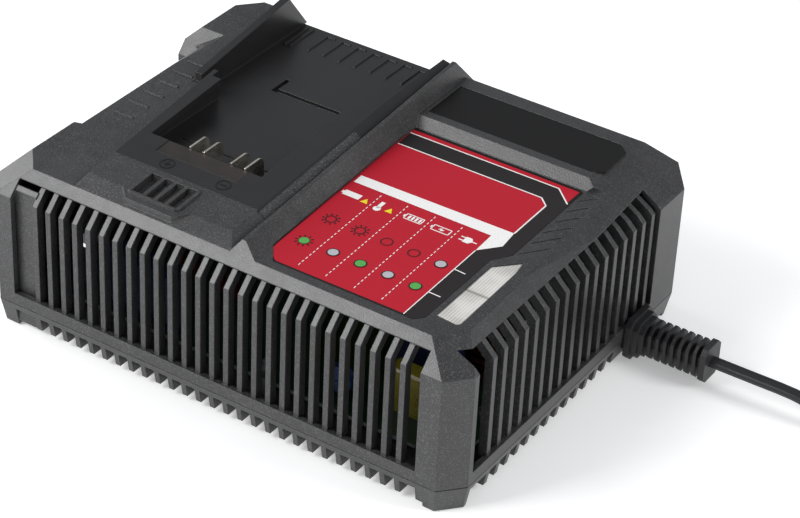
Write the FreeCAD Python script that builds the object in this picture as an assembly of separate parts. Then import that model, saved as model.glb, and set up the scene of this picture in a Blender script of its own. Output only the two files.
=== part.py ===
import FreeCAD, Part
import math
import os

V = FreeCAD.Vector

# Battery charger for a slide-on tool battery, in millimetres.
# Origin: centre of the footprint, on the surface that the feet stand on.
# +X to the cord side, -Y to the long grille at the front, +Z up.

# Case outline
case_length = 211.0          # along X
case_depth = 165.6           # along Y
corner_x = 7.9               # vertical corner facets, along X
corner_y = 8.8               # and along Y
wall = 2.4
seam_z = 11.0
seam_gap = 0.3
kink_z = 58.0                # where the upright walls turn into the slopes
back_kink_z = 62.5
back_slope_run = 12.6        # the back slope leans in by this
back_slope_rise = 15.0       # over this height
plateau_front_z = 67.4       # label side, at its front edge
plateau_tilt = 1.0           # degrees, rising to the back
plateau_inset_y = 9.4
corner_face_x = 15.0         # where the corner slopes meet the plateau
corner_face_y = 13.4
lower_taper = 2.0            # how far the lower shell draws in at its bottom
lower_edge_z = 2.4           # the slotted edge between the corner feet
foot_tip_z = 0.5             # underside of the corner feet
waist_depth = 2.2            # finger scoop in the left slope
waist_front_y = -37.0
waist_rear_y = 38.0

# Battery deck
deck_front_z = 70.6
deck_front_y = -70.8
deck_tilt = 4.1              # degrees, rising to the back
deck_left_x = -68.5          # deck's left edge beside the rails
deck_left_front_x = -65.5    # and at the front, where the flank steepens
deck_flank_foot_x = -67.5    # foot of the flank at the front
apron_edge_y = -66.9         # front edge of the deck
flat_from_x = -78.0          # how far out the raised form reaches under the flank
groove_x = 2.6               # joint between the cradle and the spine
groove_depth = 2.6
groove_half = 4.0
apron_joint_y = -52.2        # joint between the apron and the cradle
lip_front_y = -72.2          # bump in front of the vent
lip_left_x = -49.8
lip_right_x = -19.8
lip_chamfer = 4.6
floor_z = 64.5
floor_front_y = -34.8        # rear face of the terminal block
rail_end_y = 8.5
left_rail_x = -62.4
right_rail_x = -11.8
channel_left_x = -66.6       # what the battery's rails run against
channel_right_x = -6.6
rail_thickness = 3.0
bay_left_x = -74.0           # the wide mouth behind the rails
flank_foot_x = -12.7
flank_rise = 15.5
flank_run = 13.0
ear_front_y = 38.0
ear_right_x = -74.5
ear_kink_z = 64.0
ear_front_z = 69.0
ear_rear_z = 71.4
fin_start_y = 12.0
fin_start_rise = 0.5
fin_end_z = 80.6
cradle_gap = 0.25
cradle_floor = 2.4
cradle_left_x = -69.0
mouth_left_x = -77.5
mouth_start_y = 10.0
ledge_width = 3.0
ledge_height = 3.2
skirt = 2.0

# Spine, label recess and badge block
spine_crest_x = 6.6
spine_crest_width = 1.6
spine_rise = 0.6             # crest above the deck
flank_share = 0.5            # share of the wall that the flank's inner face draws in sideways
spine_foot_front_x = 13.1
spine_foot_rear_x = 9.6
spine_front_y = -62.0
badge_front_y = case_depth / 2 - 48.7
badge_rise = 3.7
badge_right_x = case_length / 2 - 12.5
badge_rear_y = case_depth / 2 - 11.8
badge_corner = 8.0
badge_rear_corner = 6.0
badge_tilt = 1.0
badge_plate_thickness = 0.8
badge_plate_recess = 1.0
label_thickness = 0.4
label_recess = 0.6
lens_thickness = 2.6
lens_recess = 0.3

# Grilles
front_pitch = 6.2
front_first_x = -case_length / 2 + 24.6
front_rib = 2.2
side_pitch = 6.96
side_first_y = -case_depth / 2 + 22.1
side_rib = 2.4
sill_z = 15.7
slot_top_z = 63.8            # where the openings end, on the slope
rib_setback = 1.0
rib_depth = 3.6
grille_left_x = -case_length / 2 + 15.1
grille_right_x = case_length / 2 - 16.5
grille_front_y = -case_depth / 2 + 11.4
grille_rear_y = case_depth / 2 - 27.3
front_ribs = round((grille_right_x - front_first_x) / front_pitch)
side_ribs = round((grille_rear_y - side_first_y) / side_pitch)
raised_right_x = case_length / 2 - 13.7    # the lower shell's raised edge ends here
raised_rear_y = case_depth / 2 - 11.8
inlet_half = 30.0            # the left side's grille, only as wide as the fan
inlet_top_z = 54.0
blind_depth = 3.0
lower_slot_top = 8.2
lower_slot_in = 7.0

# Boards and what stands on them
board_z = 14.0
board_thickness = 1.6
board_left_x = -case_length / 2 + 31.5
board_right_x = case_length / 2 - 8.5
board_front_y = -case_depth / 2 + 12.8
board_rear_y = case_depth / 2 - 12.8
board_top = board_z + board_thickness

# Fan, upright behind the left grille
fan_x = -case_length / 2 + 8.0
fan_size = 50.0
fan_thick = 15.0
fan_bore = 23.6
fan_z = 5.2
fan_hub = 10.0
fan_blades = 7
fan_tip_gap = 0.8
fan_shaft = 1.5
fan_bearing_gap = 0.06

# Cord
cord_width = 5.4             # flat two-core cord
cord_thickness = 3.4
cord_y = 44.0
cord_exit_z = 10.0
relief_length = 33.0
relief_discs = 8
coil_mid_diameter = 64.0
coil_turns_per_layer = 4
cord_pitch = 6.0             # from one turn of the coil to the next
layer_pitch = cord_thickness + 0.6
floor_clear = 0.1            # cord's underside above the resting surface

# Terminal block and contact blades
terminal_left = -54.0
terminal_right = -17.2
terminal_front = -42.6
terminal_sink = 6.0          # how far it reaches below the cradle's floor
blade_thickness = 0.8
blade_length = 11.6
blade_names = ("positive", "cell_sense", "thermistor", "negative")
blade_x = (-44.4, -38.1, -25.7, -19.5)
blade_top_z = 73.8
blade_foot_z = floor_z + 0.8
tail_length = 7.0

# Charging port for phones, in the back wall
port_zone_x = case_length / 2 - 61.5
port_x = case_length / 2 - 39.5
port_z = 30.0
port_width = 14.2
port_height = 6.8
port_depth = 18.0
port_wall = 0.7
port_clear = 0.2             # window round the socket

# Screws and feet
screw_x = case_length / 2 - 11.5
screw_y = case_depth / 2 - 11.8
screw_head_z = 6.0
screw_radius = 1.6
screw_head = 3.2
boss_radius = 4.4
foot_x = case_length / 2 - 25.5
foot_y = case_depth / 2 - 16.8
foot_radius = 6.0
foot_recess_z = 3.2
vent_left = -45.6
vent_right = -25.4
vent_front = -68.0
vent_rear = -55.6
relief_neck_y = 7.0          # half width of the neck in the case wall
relief_neck_z = 5.2          # half height
board_post_at = [(board_left_x + 6.0, board_front_y + 20.0), (board_left_x + 6.0, board_rear_y - 20.0),
                 (12.0, board_front_y + 6.0), (12.0, board_rear_y - 6.0),
                 (board_right_x - 6.0, -40.0), (board_right_x - 6.0, 22.0)]
port_post_y = case_depth / 2 - 24.8
port_post_at = [(port_x - 12.0, port_post_y), (port_x + 12.0, port_post_y)]

# Parts on the main board: where each stands and how large it is
core_x = 18.0
core_y = 2.0
core_length = 40.0
core_width = 13.0
core_height = 36.0
core_leg = 6.5
core_middle = 12.0
winding_gap = 0.6
winding_depth = 6.0
bulk_x = board_right_x - 35.0
bulk_y = -32.0
bulk_radius = 12.5
bulk_height = 32.0
output_cap_y = board_front_y + 7.0
output_caps = [(board_left_x + 20.0 + 12.5 * i, output_cap_y) for i in range(3)]
output_cap_radius = 5.2
output_cap_height = 24.0
sink_thickness = 3.0
sink_fin_depth = 9.0
sink_height = 30.0
primary_sink = (board_right_x - 69.0, board_right_x - 21.0, 38.0)    # from x, to x, front face y
secondary_sink = (board_left_x + 18.0, board_left_x + 74.0, 44.0)
film_cap = (board_right_x - 37.0, -58.0, board_right_x - 21.0, -50.0, 18.0)
choke_x = board_right_x - 17.0
choke_y = -16.0
choke_radius = 10.0
choke_bore = 4.6
choke_width = 9.0
varistor_x = board_right_x - 53.0
varistor_y = -63.0
varistor_radius = 5.5
varistor_width = 3.4
fuse_x = board_right_x - 18.0
fuse_y = 12.0
fuse_radius = 2.6
fuse_length = 20.0
bridge_x = board_right_x - 45.0
bridge_y = 9.5
port_board_z = port_z - port_height / 2 - board_thickness
indicator_board_z = 58.6
lens_x = case_length / 2 - 19.5
lens_y = -case_depth / 2 + 39.3
led_at = [(lens_x, lens_y - 9.5), (lens_x, lens_y + 9.5)]
lens_post_at = [(lens_x - 6.8, lens_y - 13.5), (lens_x - 6.8, lens_y + 12.5)]
relief_inner_x = case_length / 2 - 8.0
cord_radius = cord_width / 2
relief_root_x = case_length / 2 + 0.3
relief_end_x = relief_root_x + relief_length
relief_plate_y = 5.8
relief_plate_z = 6.9
relief_disc = 1.4
relief_pitch = 3.15
relief_core_y = 3.9
relief_core_z = 3.0

# Coil that the rest of the cord is put away in
coil_x = 216.0
tie_thickness = 0.8
tie_width = 8.0
coil_low_z = cord_thickness / 2 + tie_thickness + 0.15
coil_high_z = coil_low_z + layer_pitch
coil_outer = coil_mid_diameter / 2 + (coil_turns_per_layer - 1) * cord_pitch / 2
coil_y = cord_y + coil_outer

# Flat two-pin plug, lying on its side
plug_body_width = 35.3
plug_body_height = 13.7
plug_body_length = 36.0
plug_waist = 24.0
plug_sleeve = 16.0
pin_radius = 2.0
pin_length = 19.0
pin_spacing = 18.6
plug_axis_z = plug_body_height / 2 + floor_clear


def halfspace(point, normal):
    """A large block on the side that the normal points to."""
    size = 600.0
    plane = Part.makePlane(size, size, V(-size / 2, -size / 2, 0))
    body = plane.extrude(V(0, 0, size / 2))
    body.Placement = FreeCAD.Placement(V(*point), FreeCAD.Rotation(V(0, 0, 1), V(*normal)))
    return body


def prism(points, low, high):
    """Plan outline carried up from low to high."""
    wire = Part.makePolygon([V(x, y, low) for x, y in points + points[:1]])
    return Part.Face(wire).extrude(V(0, 0, high - low))


def profile_x(points, low, high):
    """Outline in Y and Z carried along X."""
    wire = Part.makePolygon([V(low, y, z) for y, z in points + points[:1]])
    return Part.Face(wire).extrude(V(high - low, 0, 0))


def box(x0, y0, z0, x1, y1, z1):
    return Part.makeBox(x1 - x0, y1 - y0, z1 - z0, V(x0, y0, z0))


def rod(radius, height, base, axis=(0, 0, 1)):
    return Part.makeCylinder(radius, height, V(*base), V(*axis))


def join(shapes):
    """One solid out of touching or overlapping ones."""
    shapes = list(shapes)
    result = shapes[0].fuse(shapes[1:]) if len(shapes) > 1 else shapes[0]
    return result.removeSplitter()


def octagon(inset):
    """Footprint with its four corners cut, drawn in all round by inset."""
    x, y = case_length / 2 - inset, case_depth / 2 - inset
    draw = math.sqrt(2) - 1
    cx, cy = corner_x - draw * inset, corner_y - draw * inset
    return [(-x + cx, -y), (x - cx, -y), (x, -y + cy), (x, y - cy),
            (x - cx, y), (-x + cx, y), (-x, y - cy), (-x, -y + cy)]


def upward_normal(a, b, c):
    n = (V(*b) - V(*a)).cross(V(*c) - V(*a)).normalize()
    return n if n.z > 0 else n * -1


def deck_z(y):
    return deck_front_z + math.tan(math.radians(deck_tilt)) * (y - deck_front_y)


def plateau_z(y):
    front = -case_depth / 2 + plateau_inset_y
    return plateau_front_z + math.tan(math.radians(plateau_tilt)) * (y - front)


def badge_z(y):
    front = plateau_z(badge_front_y) + badge_rise
    return front + math.tan(math.radians(badge_tilt)) * (y - badge_front_y - badge_rise)


def above(height_at, tilt):
    """Half-space above the plane through height_at(0) that rises to the back."""
    t = math.radians(tilt)
    return halfspace((0, 0, height_at), (0, -math.sin(t), math.cos(t)))


def deck_profile(points, y0, y1):
    """Outline in X and height over the deck, carried back parallel to the deck."""
    wire = Part.makePolygon([V(x, y0, deck_z(y0) + h) for x, h in points + points[:1]])
    return Part.Face(wire).extrude(V(0, y1 - y0, deck_z(y1) - deck_z(y0)))


def case_hull(inset, top=95.0):
    """Outer form of the upper case, upright walls and sloped shoulders, drawn in by inset."""
    body = prism(octagon(inset), seam_z, top)
    hx, hy = case_length / 2, case_depth / 2
    cuts = [((0, -hy, kink_z), V(0, -1, 1)),
            ((hx, 0, kink_z), V(1, 0, 1)),
            ((-hx, 0, kink_z), V(-1, 0, 1)),
            ((0, hy, back_kink_z), V(0, back_slope_rise, back_slope_run))]
    for sx in (-1, 1):
        for sy in (-1, 1):
            rise = kink_z if sy < 0 else back_kink_z
            a = (sx * (hx - corner_x), sy * hy, rise)
            b = (sx * hx, sy * (hy - corner_y), kink_z)
            c = (sx * (hx - corner_face_x), sy * (hy - corner_face_y), plateau_front_z)
            cuts.append((a, upward_normal(a, b, c)))
    for point, normal in cuts:
        n = V(normal).normalize()
        body = body.cut(halfspace(V(*point) - n * inset, n))
    return body


def waist(inset):
    """What the finger scoop takes off the left slope."""
    hx = case_length / 2
    lean = 8.0
    n = V(-1, 0, 1).normalize()
    p = V(-hx, 0, kink_z) - n * (waist_depth + inset)
    zone = prism([(-hx - 9, waist_front_y - lean), (-hx + 45, waist_front_y + lean),
                  (-hx + 45, waist_rear_y - lean), (-hx - 9, waist_rear_y + lean)], seam_z, 95)
    return zone.common(halfspace(p, n))


def spine_section(y, foot_x, drop):
    """Section of the spine at one depth: groove wall, narrow crest and the flank down to its foot."""
    crest = deck_z(y) + spine_rise - drop
    foot = plateau_z(y) - drop
    aside = drop * flank_share
    points = [(groove_x, foot - 20), (groove_x, deck_z(y) - groove_depth - drop),
              (spine_crest_x - spine_crest_width, crest), (spine_crest_x - aside, crest),
              (foot_x - aside, foot), (foot_x - aside, foot - 20)]
    return Part.makePolygon([V(x, y, z) for x, z in points + points[:1]])


def spine_form(drop):
    """Spine between deck and label, its flank steepening to the back as the deck rises."""
    back = case_depth / 2 + 5
    slope = (spine_foot_rear_x - spine_foot_front_x) / (badge_rear_y - spine_front_y)
    ends = [(y, spine_foot_front_x + slope * (y - spine_front_y)) for y in (-back, back)]
    return Part.makeLoft([spine_section(y, x, drop) for y, x in ends], True, True)


def top_form(drop):
    """The stepped top: plateaus, deck, spine and badge block, all lowered by drop."""
    far = case_length / 2 + 5
    back = case_depth / 2 + 5
    base = box(-far, -back, 0, far, back, 95).cut(above(plateau_z(0) - drop, plateau_tilt))
    raised = box(flat_from_x, -back, 40, groove_x + 0.5, back, 95)
    raised = raised.cut(above(deck_z(0) - drop, deck_tilt))
    front = (deck_left_front_x, apron_edge_y, deck_z(apron_edge_y) - drop)
    rear = (deck_left_x, 10.0, deck_z(10.0) - drop)
    foot = (deck_flank_foot_x, -72.0, plateau_z(-72.0) - drop)
    raised = raised.cut(halfspace(front, upward_normal(front, rear, foot)))
    step_y = -case_depth / 2 + plateau_inset_y
    low = (0, step_y, plateau_z(step_y) - drop)
    high = (0, apron_edge_y, deck_z(apron_edge_y) - drop)
    side = (9, apron_edge_y, deck_z(apron_edge_y) - drop)
    raised = raised.cut(halfspace(low, upward_normal(low, high, side)))
    spine = spine_form(drop)
    raised = raised.cut(deck_profile([(groove_x - groove_half, 9), (groove_x - groove_half, -drop),
                                      (groove_x, -groove_depth - drop), (spine_foot_front_x + 9,
                                      -groove_depth - drop), (spine_foot_front_x + 9, 9)],
                                     -back, back))
    outline = [(spine_crest_x, badge_front_y), (badge_right_x - badge_corner, badge_front_y),
               (badge_right_x, badge_front_y + badge_corner),
               (badge_right_x, badge_rear_y - badge_rear_corner),
               (badge_right_x - badge_rear_corner, badge_rear_y), (spine_crest_x, badge_rear_y)]
    badge = prism(outline, 40, 95).cut(above(badge_z(0) - drop, badge_tilt))
    badge = badge.cut(halfspace((0, badge_front_y, plateau_z(badge_front_y) - drop), (0, -1, 1)))
    lip = prism([(lip_left_x, -60), (lip_left_x, lip_front_y + lip_chamfer),
                 (lip_left_x + lip_chamfer, lip_front_y), (lip_right_x - lip_chamfer, lip_front_y),
                 (lip_right_x, lip_front_y + lip_chamfer), (lip_right_x, -60)], 60, 95)
    lip = lip.cut(above(deck_z(0) - drop, deck_tilt))
    return base.fuse([raised, spine, badge]), lip


def rear_ear():
    """Raised corner at the left rear, its edges standing outside the side slope."""
    hx, hy = case_length / 2, case_depth / 2
    body = box(-hx, ear_front_y, kink_z - 2, ear_right_x, hy, 95).common(prism(octagon(0), 0, 95))
    body = body.cut(halfspace((-hx, 0, ear_kink_z), V(-1, 0, 1)))
    body = body.cut(halfspace((0, hy, back_kink_z), V(0, back_slope_rise, back_slope_run)))
    body = body.cut(halfspace((0, ear_front_y, kink_z + 1), V(0, -1.1, 1)))
    low = (0, ear_front_y + 9.0, ear_front_z)
    high = (0, 72.0, ear_rear_z)
    aside = (9, 72.0, ear_rear_z)
    body = body.cut(halfspace(low, upward_normal(low, high, aside)))
    a = (-hx + corner_x, hy, ear_kink_z)
    b = (-hx, hy - corner_y, ear_kink_z)
    c = (-hx + 12.5, hy - 10.5, ear_rear_z)
    return body.cut(halfspace(a, upward_normal(a, b, c)))


def cradle_outline(grow):
    """Plan of the battery cradle, grown all round."""
    back = case_depth / 2 + 8
    return [(cradle_left_x - grow, apron_joint_y - grow), (groove_x + grow, apron_joint_y - grow),
            (groove_x + grow, back), (mouth_left_x - grow, back),
            (mouth_left_x - grow, mouth_start_y - grow), (cradle_left_x - grow, mouth_start_y - grow)]


def fin():
    """Wall beside the battery's mouth, rising from the deck's edge to the back."""
    y1 = case_depth / 2
    start = deck_z(fin_start_y) - 4.5
    side = profile_x([(fin_start_y, floor_z), (fin_start_y, start + fin_start_rise),
                      (70.0, fin_end_z), (y1, back_kink_z + 2), (y1, floor_z)],
                     mouth_left_x + cradle_gap, bay_left_x)
    lean = (bay_left_x - 0.8, 0, fin_end_z + 2)
    return side.cut(halfspace(lean, (-0.35, -0.03, 0.12)))


def battery_cradle(skin):
    """The moulded seat that the battery slides into from the back."""
    back = case_depth / 2 + 8
    low = floor_z - cradle_floor
    body = prism(cradle_outline(-cradle_gap), low, 95).common(skin)
    body = body.fuse(fin()).removeSplitter()
    lift = floor_z - 30
    channel = box(channel_left_x, floor_front_y, floor_z, channel_right_x, rail_end_y, 95)
    channel = channel.cut(above(deck_z(0) - rail_thickness, deck_tilt))
    slit = box(left_rail_x, floor_front_y, floor_z, right_rail_x, rail_end_y + 1, 95)
    bay = prism([(bay_left_x, mouth_start_y + 2.5), (channel_left_x, mouth_start_y + 2.5),
                 (channel_left_x, rail_end_y), (channel_right_x, rail_end_y),
                 (groove_x, rail_end_y), (groove_x, back), (bay_left_x, back)], floor_z, 95)
    n = V(-flank_rise, 0, flank_run).normalize()
    bay = bay.common(halfspace((flank_foot_x, 0, floor_z), n))
    body = body.cut(channel).cut(slit).cut(bay)
    notch = box(terminal_left - 0.2, terminal_front - 0.2, low - 1,
                terminal_right + 0.2, floor_front_y + 0.1, 95)
    body = body.cut(notch)
    # Latch slot, panel joint and the lead-in ribs on the floor.
    slot = box(-54.0, 29.7, floor_z - 1.6, -22.8, 32.2, floor_z + 1)
    arm = box(-54.0, 29.7, floor_z - 1.6, -52.2, 40.2, floor_z + 1)
    joint = box(-60.0, -19.8, floor_z - 0.8, -16.0, -19.2, floor_z + 1)
    body = body.cut(slot).cut(arm).cut(joint)
    ribs = []
    for i in range(7):
        x = -60.9 + 7.38 * i
        ribs.append(box(x, 64.0, floor_z - 0.5, x + 0.9, 78.2, floor_z + 0.5))
        ribs.append(box(x + 0.9, 77.3, floor_z - 0.5, x + 4.4, 78.2, floor_z + 0.5))
    for x in (-71.3, -68.6):
        ribs.append(box(x, 62.0, floor_z - 0.5, x + 1.0, 79.0, floor_z + 0.6))
    return join([body] + ribs)


def terminal_block():
    body = box(terminal_left, terminal_front, floor_z - terminal_sink, terminal_right,
               floor_front_y, 95).cut(above(deck_z(0) - 0.15, deck_tilt))
    for x in blade_x:
        body = body.cut(blade(x))
    return body


def blade(x):
    """One flat contact: tail into the board's lead, blade out of the block's back face."""
    y0 = terminal_front + 2.0
    y1 = floor_front_y + blade_length
    top = blade_top_z
    radius = 3.4
    inside = deck_z(y0) - 1.0
    half = blade_thickness / 2
    side = profile_x([(y0, blade_foot_z), (y1, blade_foot_z), (y1, top - radius),
                      (y1 - radius, top), (floor_front_y + 0.2, top), (floor_front_y + 0.2, inside),
                      (y0, inside)], x - half, x + half)
    corner = rod(radius, 2 * half, (x - half, y1 - radius, top - radius), (1, 0, 0))
    tail = box(x - half, y0, floor_z - terminal_sink - tail_length, x + half, y0 + 3.0, blade_foot_z)
    return join([side, corner, tail])


def rib_slabs(face):
    """Boxes that keep only the ribs of one face's grille."""
    hx, hy = case_length / 2, case_depth / 2
    deep = 24.0
    slabs = []
    if face in ("front", "back"):
        y0, y1 = (-hy - 1, -hy + deep) if face == "front" else (hy - deep, hy + 1)
        for i in range(front_ribs):
            x = front_first_x + front_pitch * i
            slabs.append(box(x, y0, sill_z - 0.6, x + front_rib, y1, slot_top_z + 1.6))
    else:
        x0, x1 = (hx - deep, hx + 1) if face == "right" else (-hx - 1, -hx + deep)
        for j in range(side_ribs):
            y = side_first_y + side_pitch * j
            slabs.append(box(x0, y, sill_z - 0.6, x1, y + side_rib, slot_top_z + 1.6))
    return slabs


def grille_zone(face, grow=0.0):
    hx, hy = case_length / 2, case_depth / 2
    deep = 20.0
    z0, z1 = sill_z - grow, slot_top_z + grow
    if face == "front":
        return box(grille_left_x - grow, -hy - 1, z0, grille_right_x + grow, -hy + deep, z1)
    if face == "back":
        return box(-grille_right_x - grow, hy - deep, z0, port_zone_x + grow, hy + 1, 58.0 + grow)
    if face == "right":
        return box(hx - deep, grille_front_y - grow, z0, hx + 1, grille_rear_y + grow, z1)
    return box(-hx - 1, -inlet_half - grow, z0, -hx + deep, inlet_half + grow, inlet_top_z + grow)


def label_outline(grow=0.0):
    g = grow
    right = case_length / 2 - 21.1
    step = right - 4.8
    front = -case_depth / 2 + 13.4
    rear = badge_front_y - 0.4
    return [(12.6 - g, front + 8.4 - g), (18.4 - g, front - g), (step - 3.1 + g, front - g),
            (step + g, front + 3.4 - g), (step + g, front + 44.9), (right + g, front + 52.4),
            (right + g, rear - 1.1), (right - 1.8, rear + g), (10.6 - g, rear + g), (10.6 - g, rear - 13.7)]


def lens_outline(grow=0.0):
    g = grow
    x = case_length / 2 - 23.6
    y = -case_depth / 2 + 20.2
    return [(x - g, y - g), (x + 8.3 + g, y - 0.8 - g), (x + 9.5 + g, y + 0.4), (x + 9.0 + g, y + 37.0),
            (x + 8.0 + g, y + 43.6 + g), (x - g, y + 35.2 + g)]


def badge_plate_outline(grow=0.0):
    g = grow
    front, rear, right = badge_front_y + 7.5, badge_rear_y - 6.6, badge_right_x - 6.6
    return [(11.0 - g, front - g), (right - 4.0, front - g), (right + g, front + 4.0),
            (right + g, rear - 3.8), (right - 4.2, rear + g), (11.0 - g, rear + g)]


def slanted(outline, low, high, height_zero, tilt):
    """Plan outline between two planes that are parallel to a tilted top face."""
    body = prism(outline, 30, 95).cut(above(height_zero + high, tilt))
    return body.common(above(height_zero + low, tilt))


def grip_grooves():
    """Slanted score lines in the bezel beside the label."""
    cuts = []
    for i in range(6):
        y = -15.5 + 8.3 * i
        x = case_length / 2 - 19.9
        line = prism([(x, y), (x + 7.2, y + 9.4), (x + 7.2, y + 10.2), (x, y + 0.8)], 60, 90)
        cuts.append(line.common(above(plateau_z(0) - 0.6, plateau_tilt)))
    return cuts


def tick_ribs():
    """Six low ribs on the left plateau."""
    out = []
    for i in range(6):
        y = -24.6 + 9.25 * i
        rib = box(-88.6, y, 60, -79.2, y + 0.9, 95).cut(above(plateau_z(0) + 0.5, plateau_tilt))
        out.append(rib)
    return out


def upper_housing(skin, inner):
    body = skin.cut(inner)
    faces = ("front", "right", "left", "back")
    body = body.cut(Part.makeCompound([grille_zone(f) for f in faces]))
    shelf = case_hull(rib_setback).cut(case_hull(rib_setback + rib_depth))
    ribs = []
    for face in faces:
        kept = Part.makeCompound(rib_slabs(face)).common(grille_zone(face, 0.6))
        ribs.append(shelf.common(kept))
    # Blind end panels of the long grille.
    hy = case_depth / 2
    blind = box(grille_left_x - 1, -hy + blind_depth, sill_z - 1, front_first_x + 0.4,
                -hy + blind_depth + 1.6, slot_top_z - 1)
    blind = blind.common(case_hull(0.5))
    body = body.fuse(ribs + [blind])
    # Skirt and ledge that hold the cradle.
    ring = prism(cradle_outline(skirt), floor_z - cradle_floor - ledge_height, 95)
    ring = ring.cut(prism(cradle_outline(0), floor_z - cradle_floor, 95))
    ring = ring.cut(prism(cradle_outline(-ledge_width), 40, 95)).common(skin)
    body = body.cut(prism(cradle_outline(0), floor_z - cradle_floor, 95)).fuse(ring)
    # Bosses for the case screws, and the roof over the terminal block.
    for sx in (-1, 1):
        for sy in (-1, 1):
            post = rod(boss_radius - 0.4, 42.0, (sx * screw_x, sy * screw_y, seam_z))
            post = post.cut(rod(screw_radius + 0.1, 20.0, (sx * screw_x, sy * screw_y, seam_z)))
            web = box(screw_x, screw_y - 0.8, seam_z + 8, screw_x + 13, screw_y + 0.8, seam_z + 42)
            web.rotate(V(screw_x, screw_y, 0), V(0, 0, 1), 45)
            turn = {(1, 1): 0, (-1, 1): 90, (-1, -1): 180, (1, -1): 270}[(sx, sy)]
            web.rotate(V(screw_x, screw_y, 0), V(0, 0, 1), turn)
            web.translate(V(sx * screw_x - screw_x, sy * screw_y - screw_y, 0))
            web = web.cut(rod(screw_radius + 0.1, 20.0, (sx * screw_x, sy * screw_y, seam_z)))
            body = body.fuse([post, web.common(case_hull(1.2))])
    # Apron vent: a raised rim with three bars.
    rim = prism([(vent_left - 1.5, vent_front), (vent_left, vent_front - 1.2),
                 (vent_right, vent_front - 1.2), (vent_right + 1.5, vent_front),
                 (vent_right + 1.5, vent_rear), (vent_right, vent_rear + 1.5),
                 (vent_left, vent_rear + 1.5), (vent_left - 1.5, vent_rear)], 60, 95)
    rim = rim.cut(above(deck_z(0) + 0.8, deck_tilt)).common(above(deck_z(0) - 1.0, deck_tilt))
    body = body.fuse(rim)
    body = body.cut(box(vent_left, vent_front, 55, vent_right, vent_rear, 95))
    pitch = (vent_right - vent_left) / 4
    for i in (1, 2, 3):
        x = vent_left + pitch * i
        bar = box(x - 0.8, vent_front - 0.3, 55, x + 0.8, vent_rear + 0.3, 95)
        bar = bar.cut(above(deck_z(0) + 0.2, deck_tilt)).common(above(deck_z(0) - 2.6, deck_tilt))
        body = body.fuse(bar)
    # Recesses for label, lens and badge plate, with the lens window cut through.
    body = body.cut(slanted(label_outline(0.15), -label_recess, 5, plateau_z(0), plateau_tilt))
    body = body.cut(slanted(badge_plate_outline(0.15), -badge_plate_recess, 5, badge_z(0), badge_tilt))
    body = body.cut(slanted(lens_outline(0.1), -12, 5, plateau_z(0), plateau_tilt))
    body = body.cut(Part.makeCompound(grip_grooves()))
    body = body.fuse(tick_ribs())
    post_top = plateau_z(0) - wall + 0.5
    body = body.fuse([rod(1.8, post_top - indicator_board_z - board_thickness,
                          (x, y, indicator_board_z + board_thickness)) for x, y in lens_post_at])
    # Port window in the back wall.
    body = body.cut(box(port_x - port_width / 2 - port_clear, hy - port_depth - 4,
                        port_z - port_height / 2 - port_clear, port_x + port_width / 2 + port_clear,
                        hy + 8, port_z + port_height / 2 + port_clear))
    # Half of the hole for the strain relief, on the seam.
    body = body.cut(relief_hole())
    solids = sorted(body.Solids, key=lambda s: -s.Volume)
    print("upper housing solids", [round(s.Volume, 1) for s in solids[:4]])
    return solids[0].removeSplitter()


def relief_hole():
    hx = case_length / 2
    return box(hx - 8, cord_y - relief_neck_y, cord_exit_z - relief_neck_z, hx + 1,
               cord_y + relief_neck_y, cord_exit_z + relief_neck_z)


def lower_shell_form(inset, z0, z1):
    """Tapered octagon between two heights, drawn in by inset."""
    rings = []
    for z in (z0, z1):
        taper = lower_taper * (1 - z / (seam_z - seam_gap))
        wire = Part.makePolygon([V(x, y, z) for x, y in octagon(inset + taper) +
                                 octagon(inset + taper)[:1]])
        rings.append(wire)
    return Part.makeLoft(rings, True, True)


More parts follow.
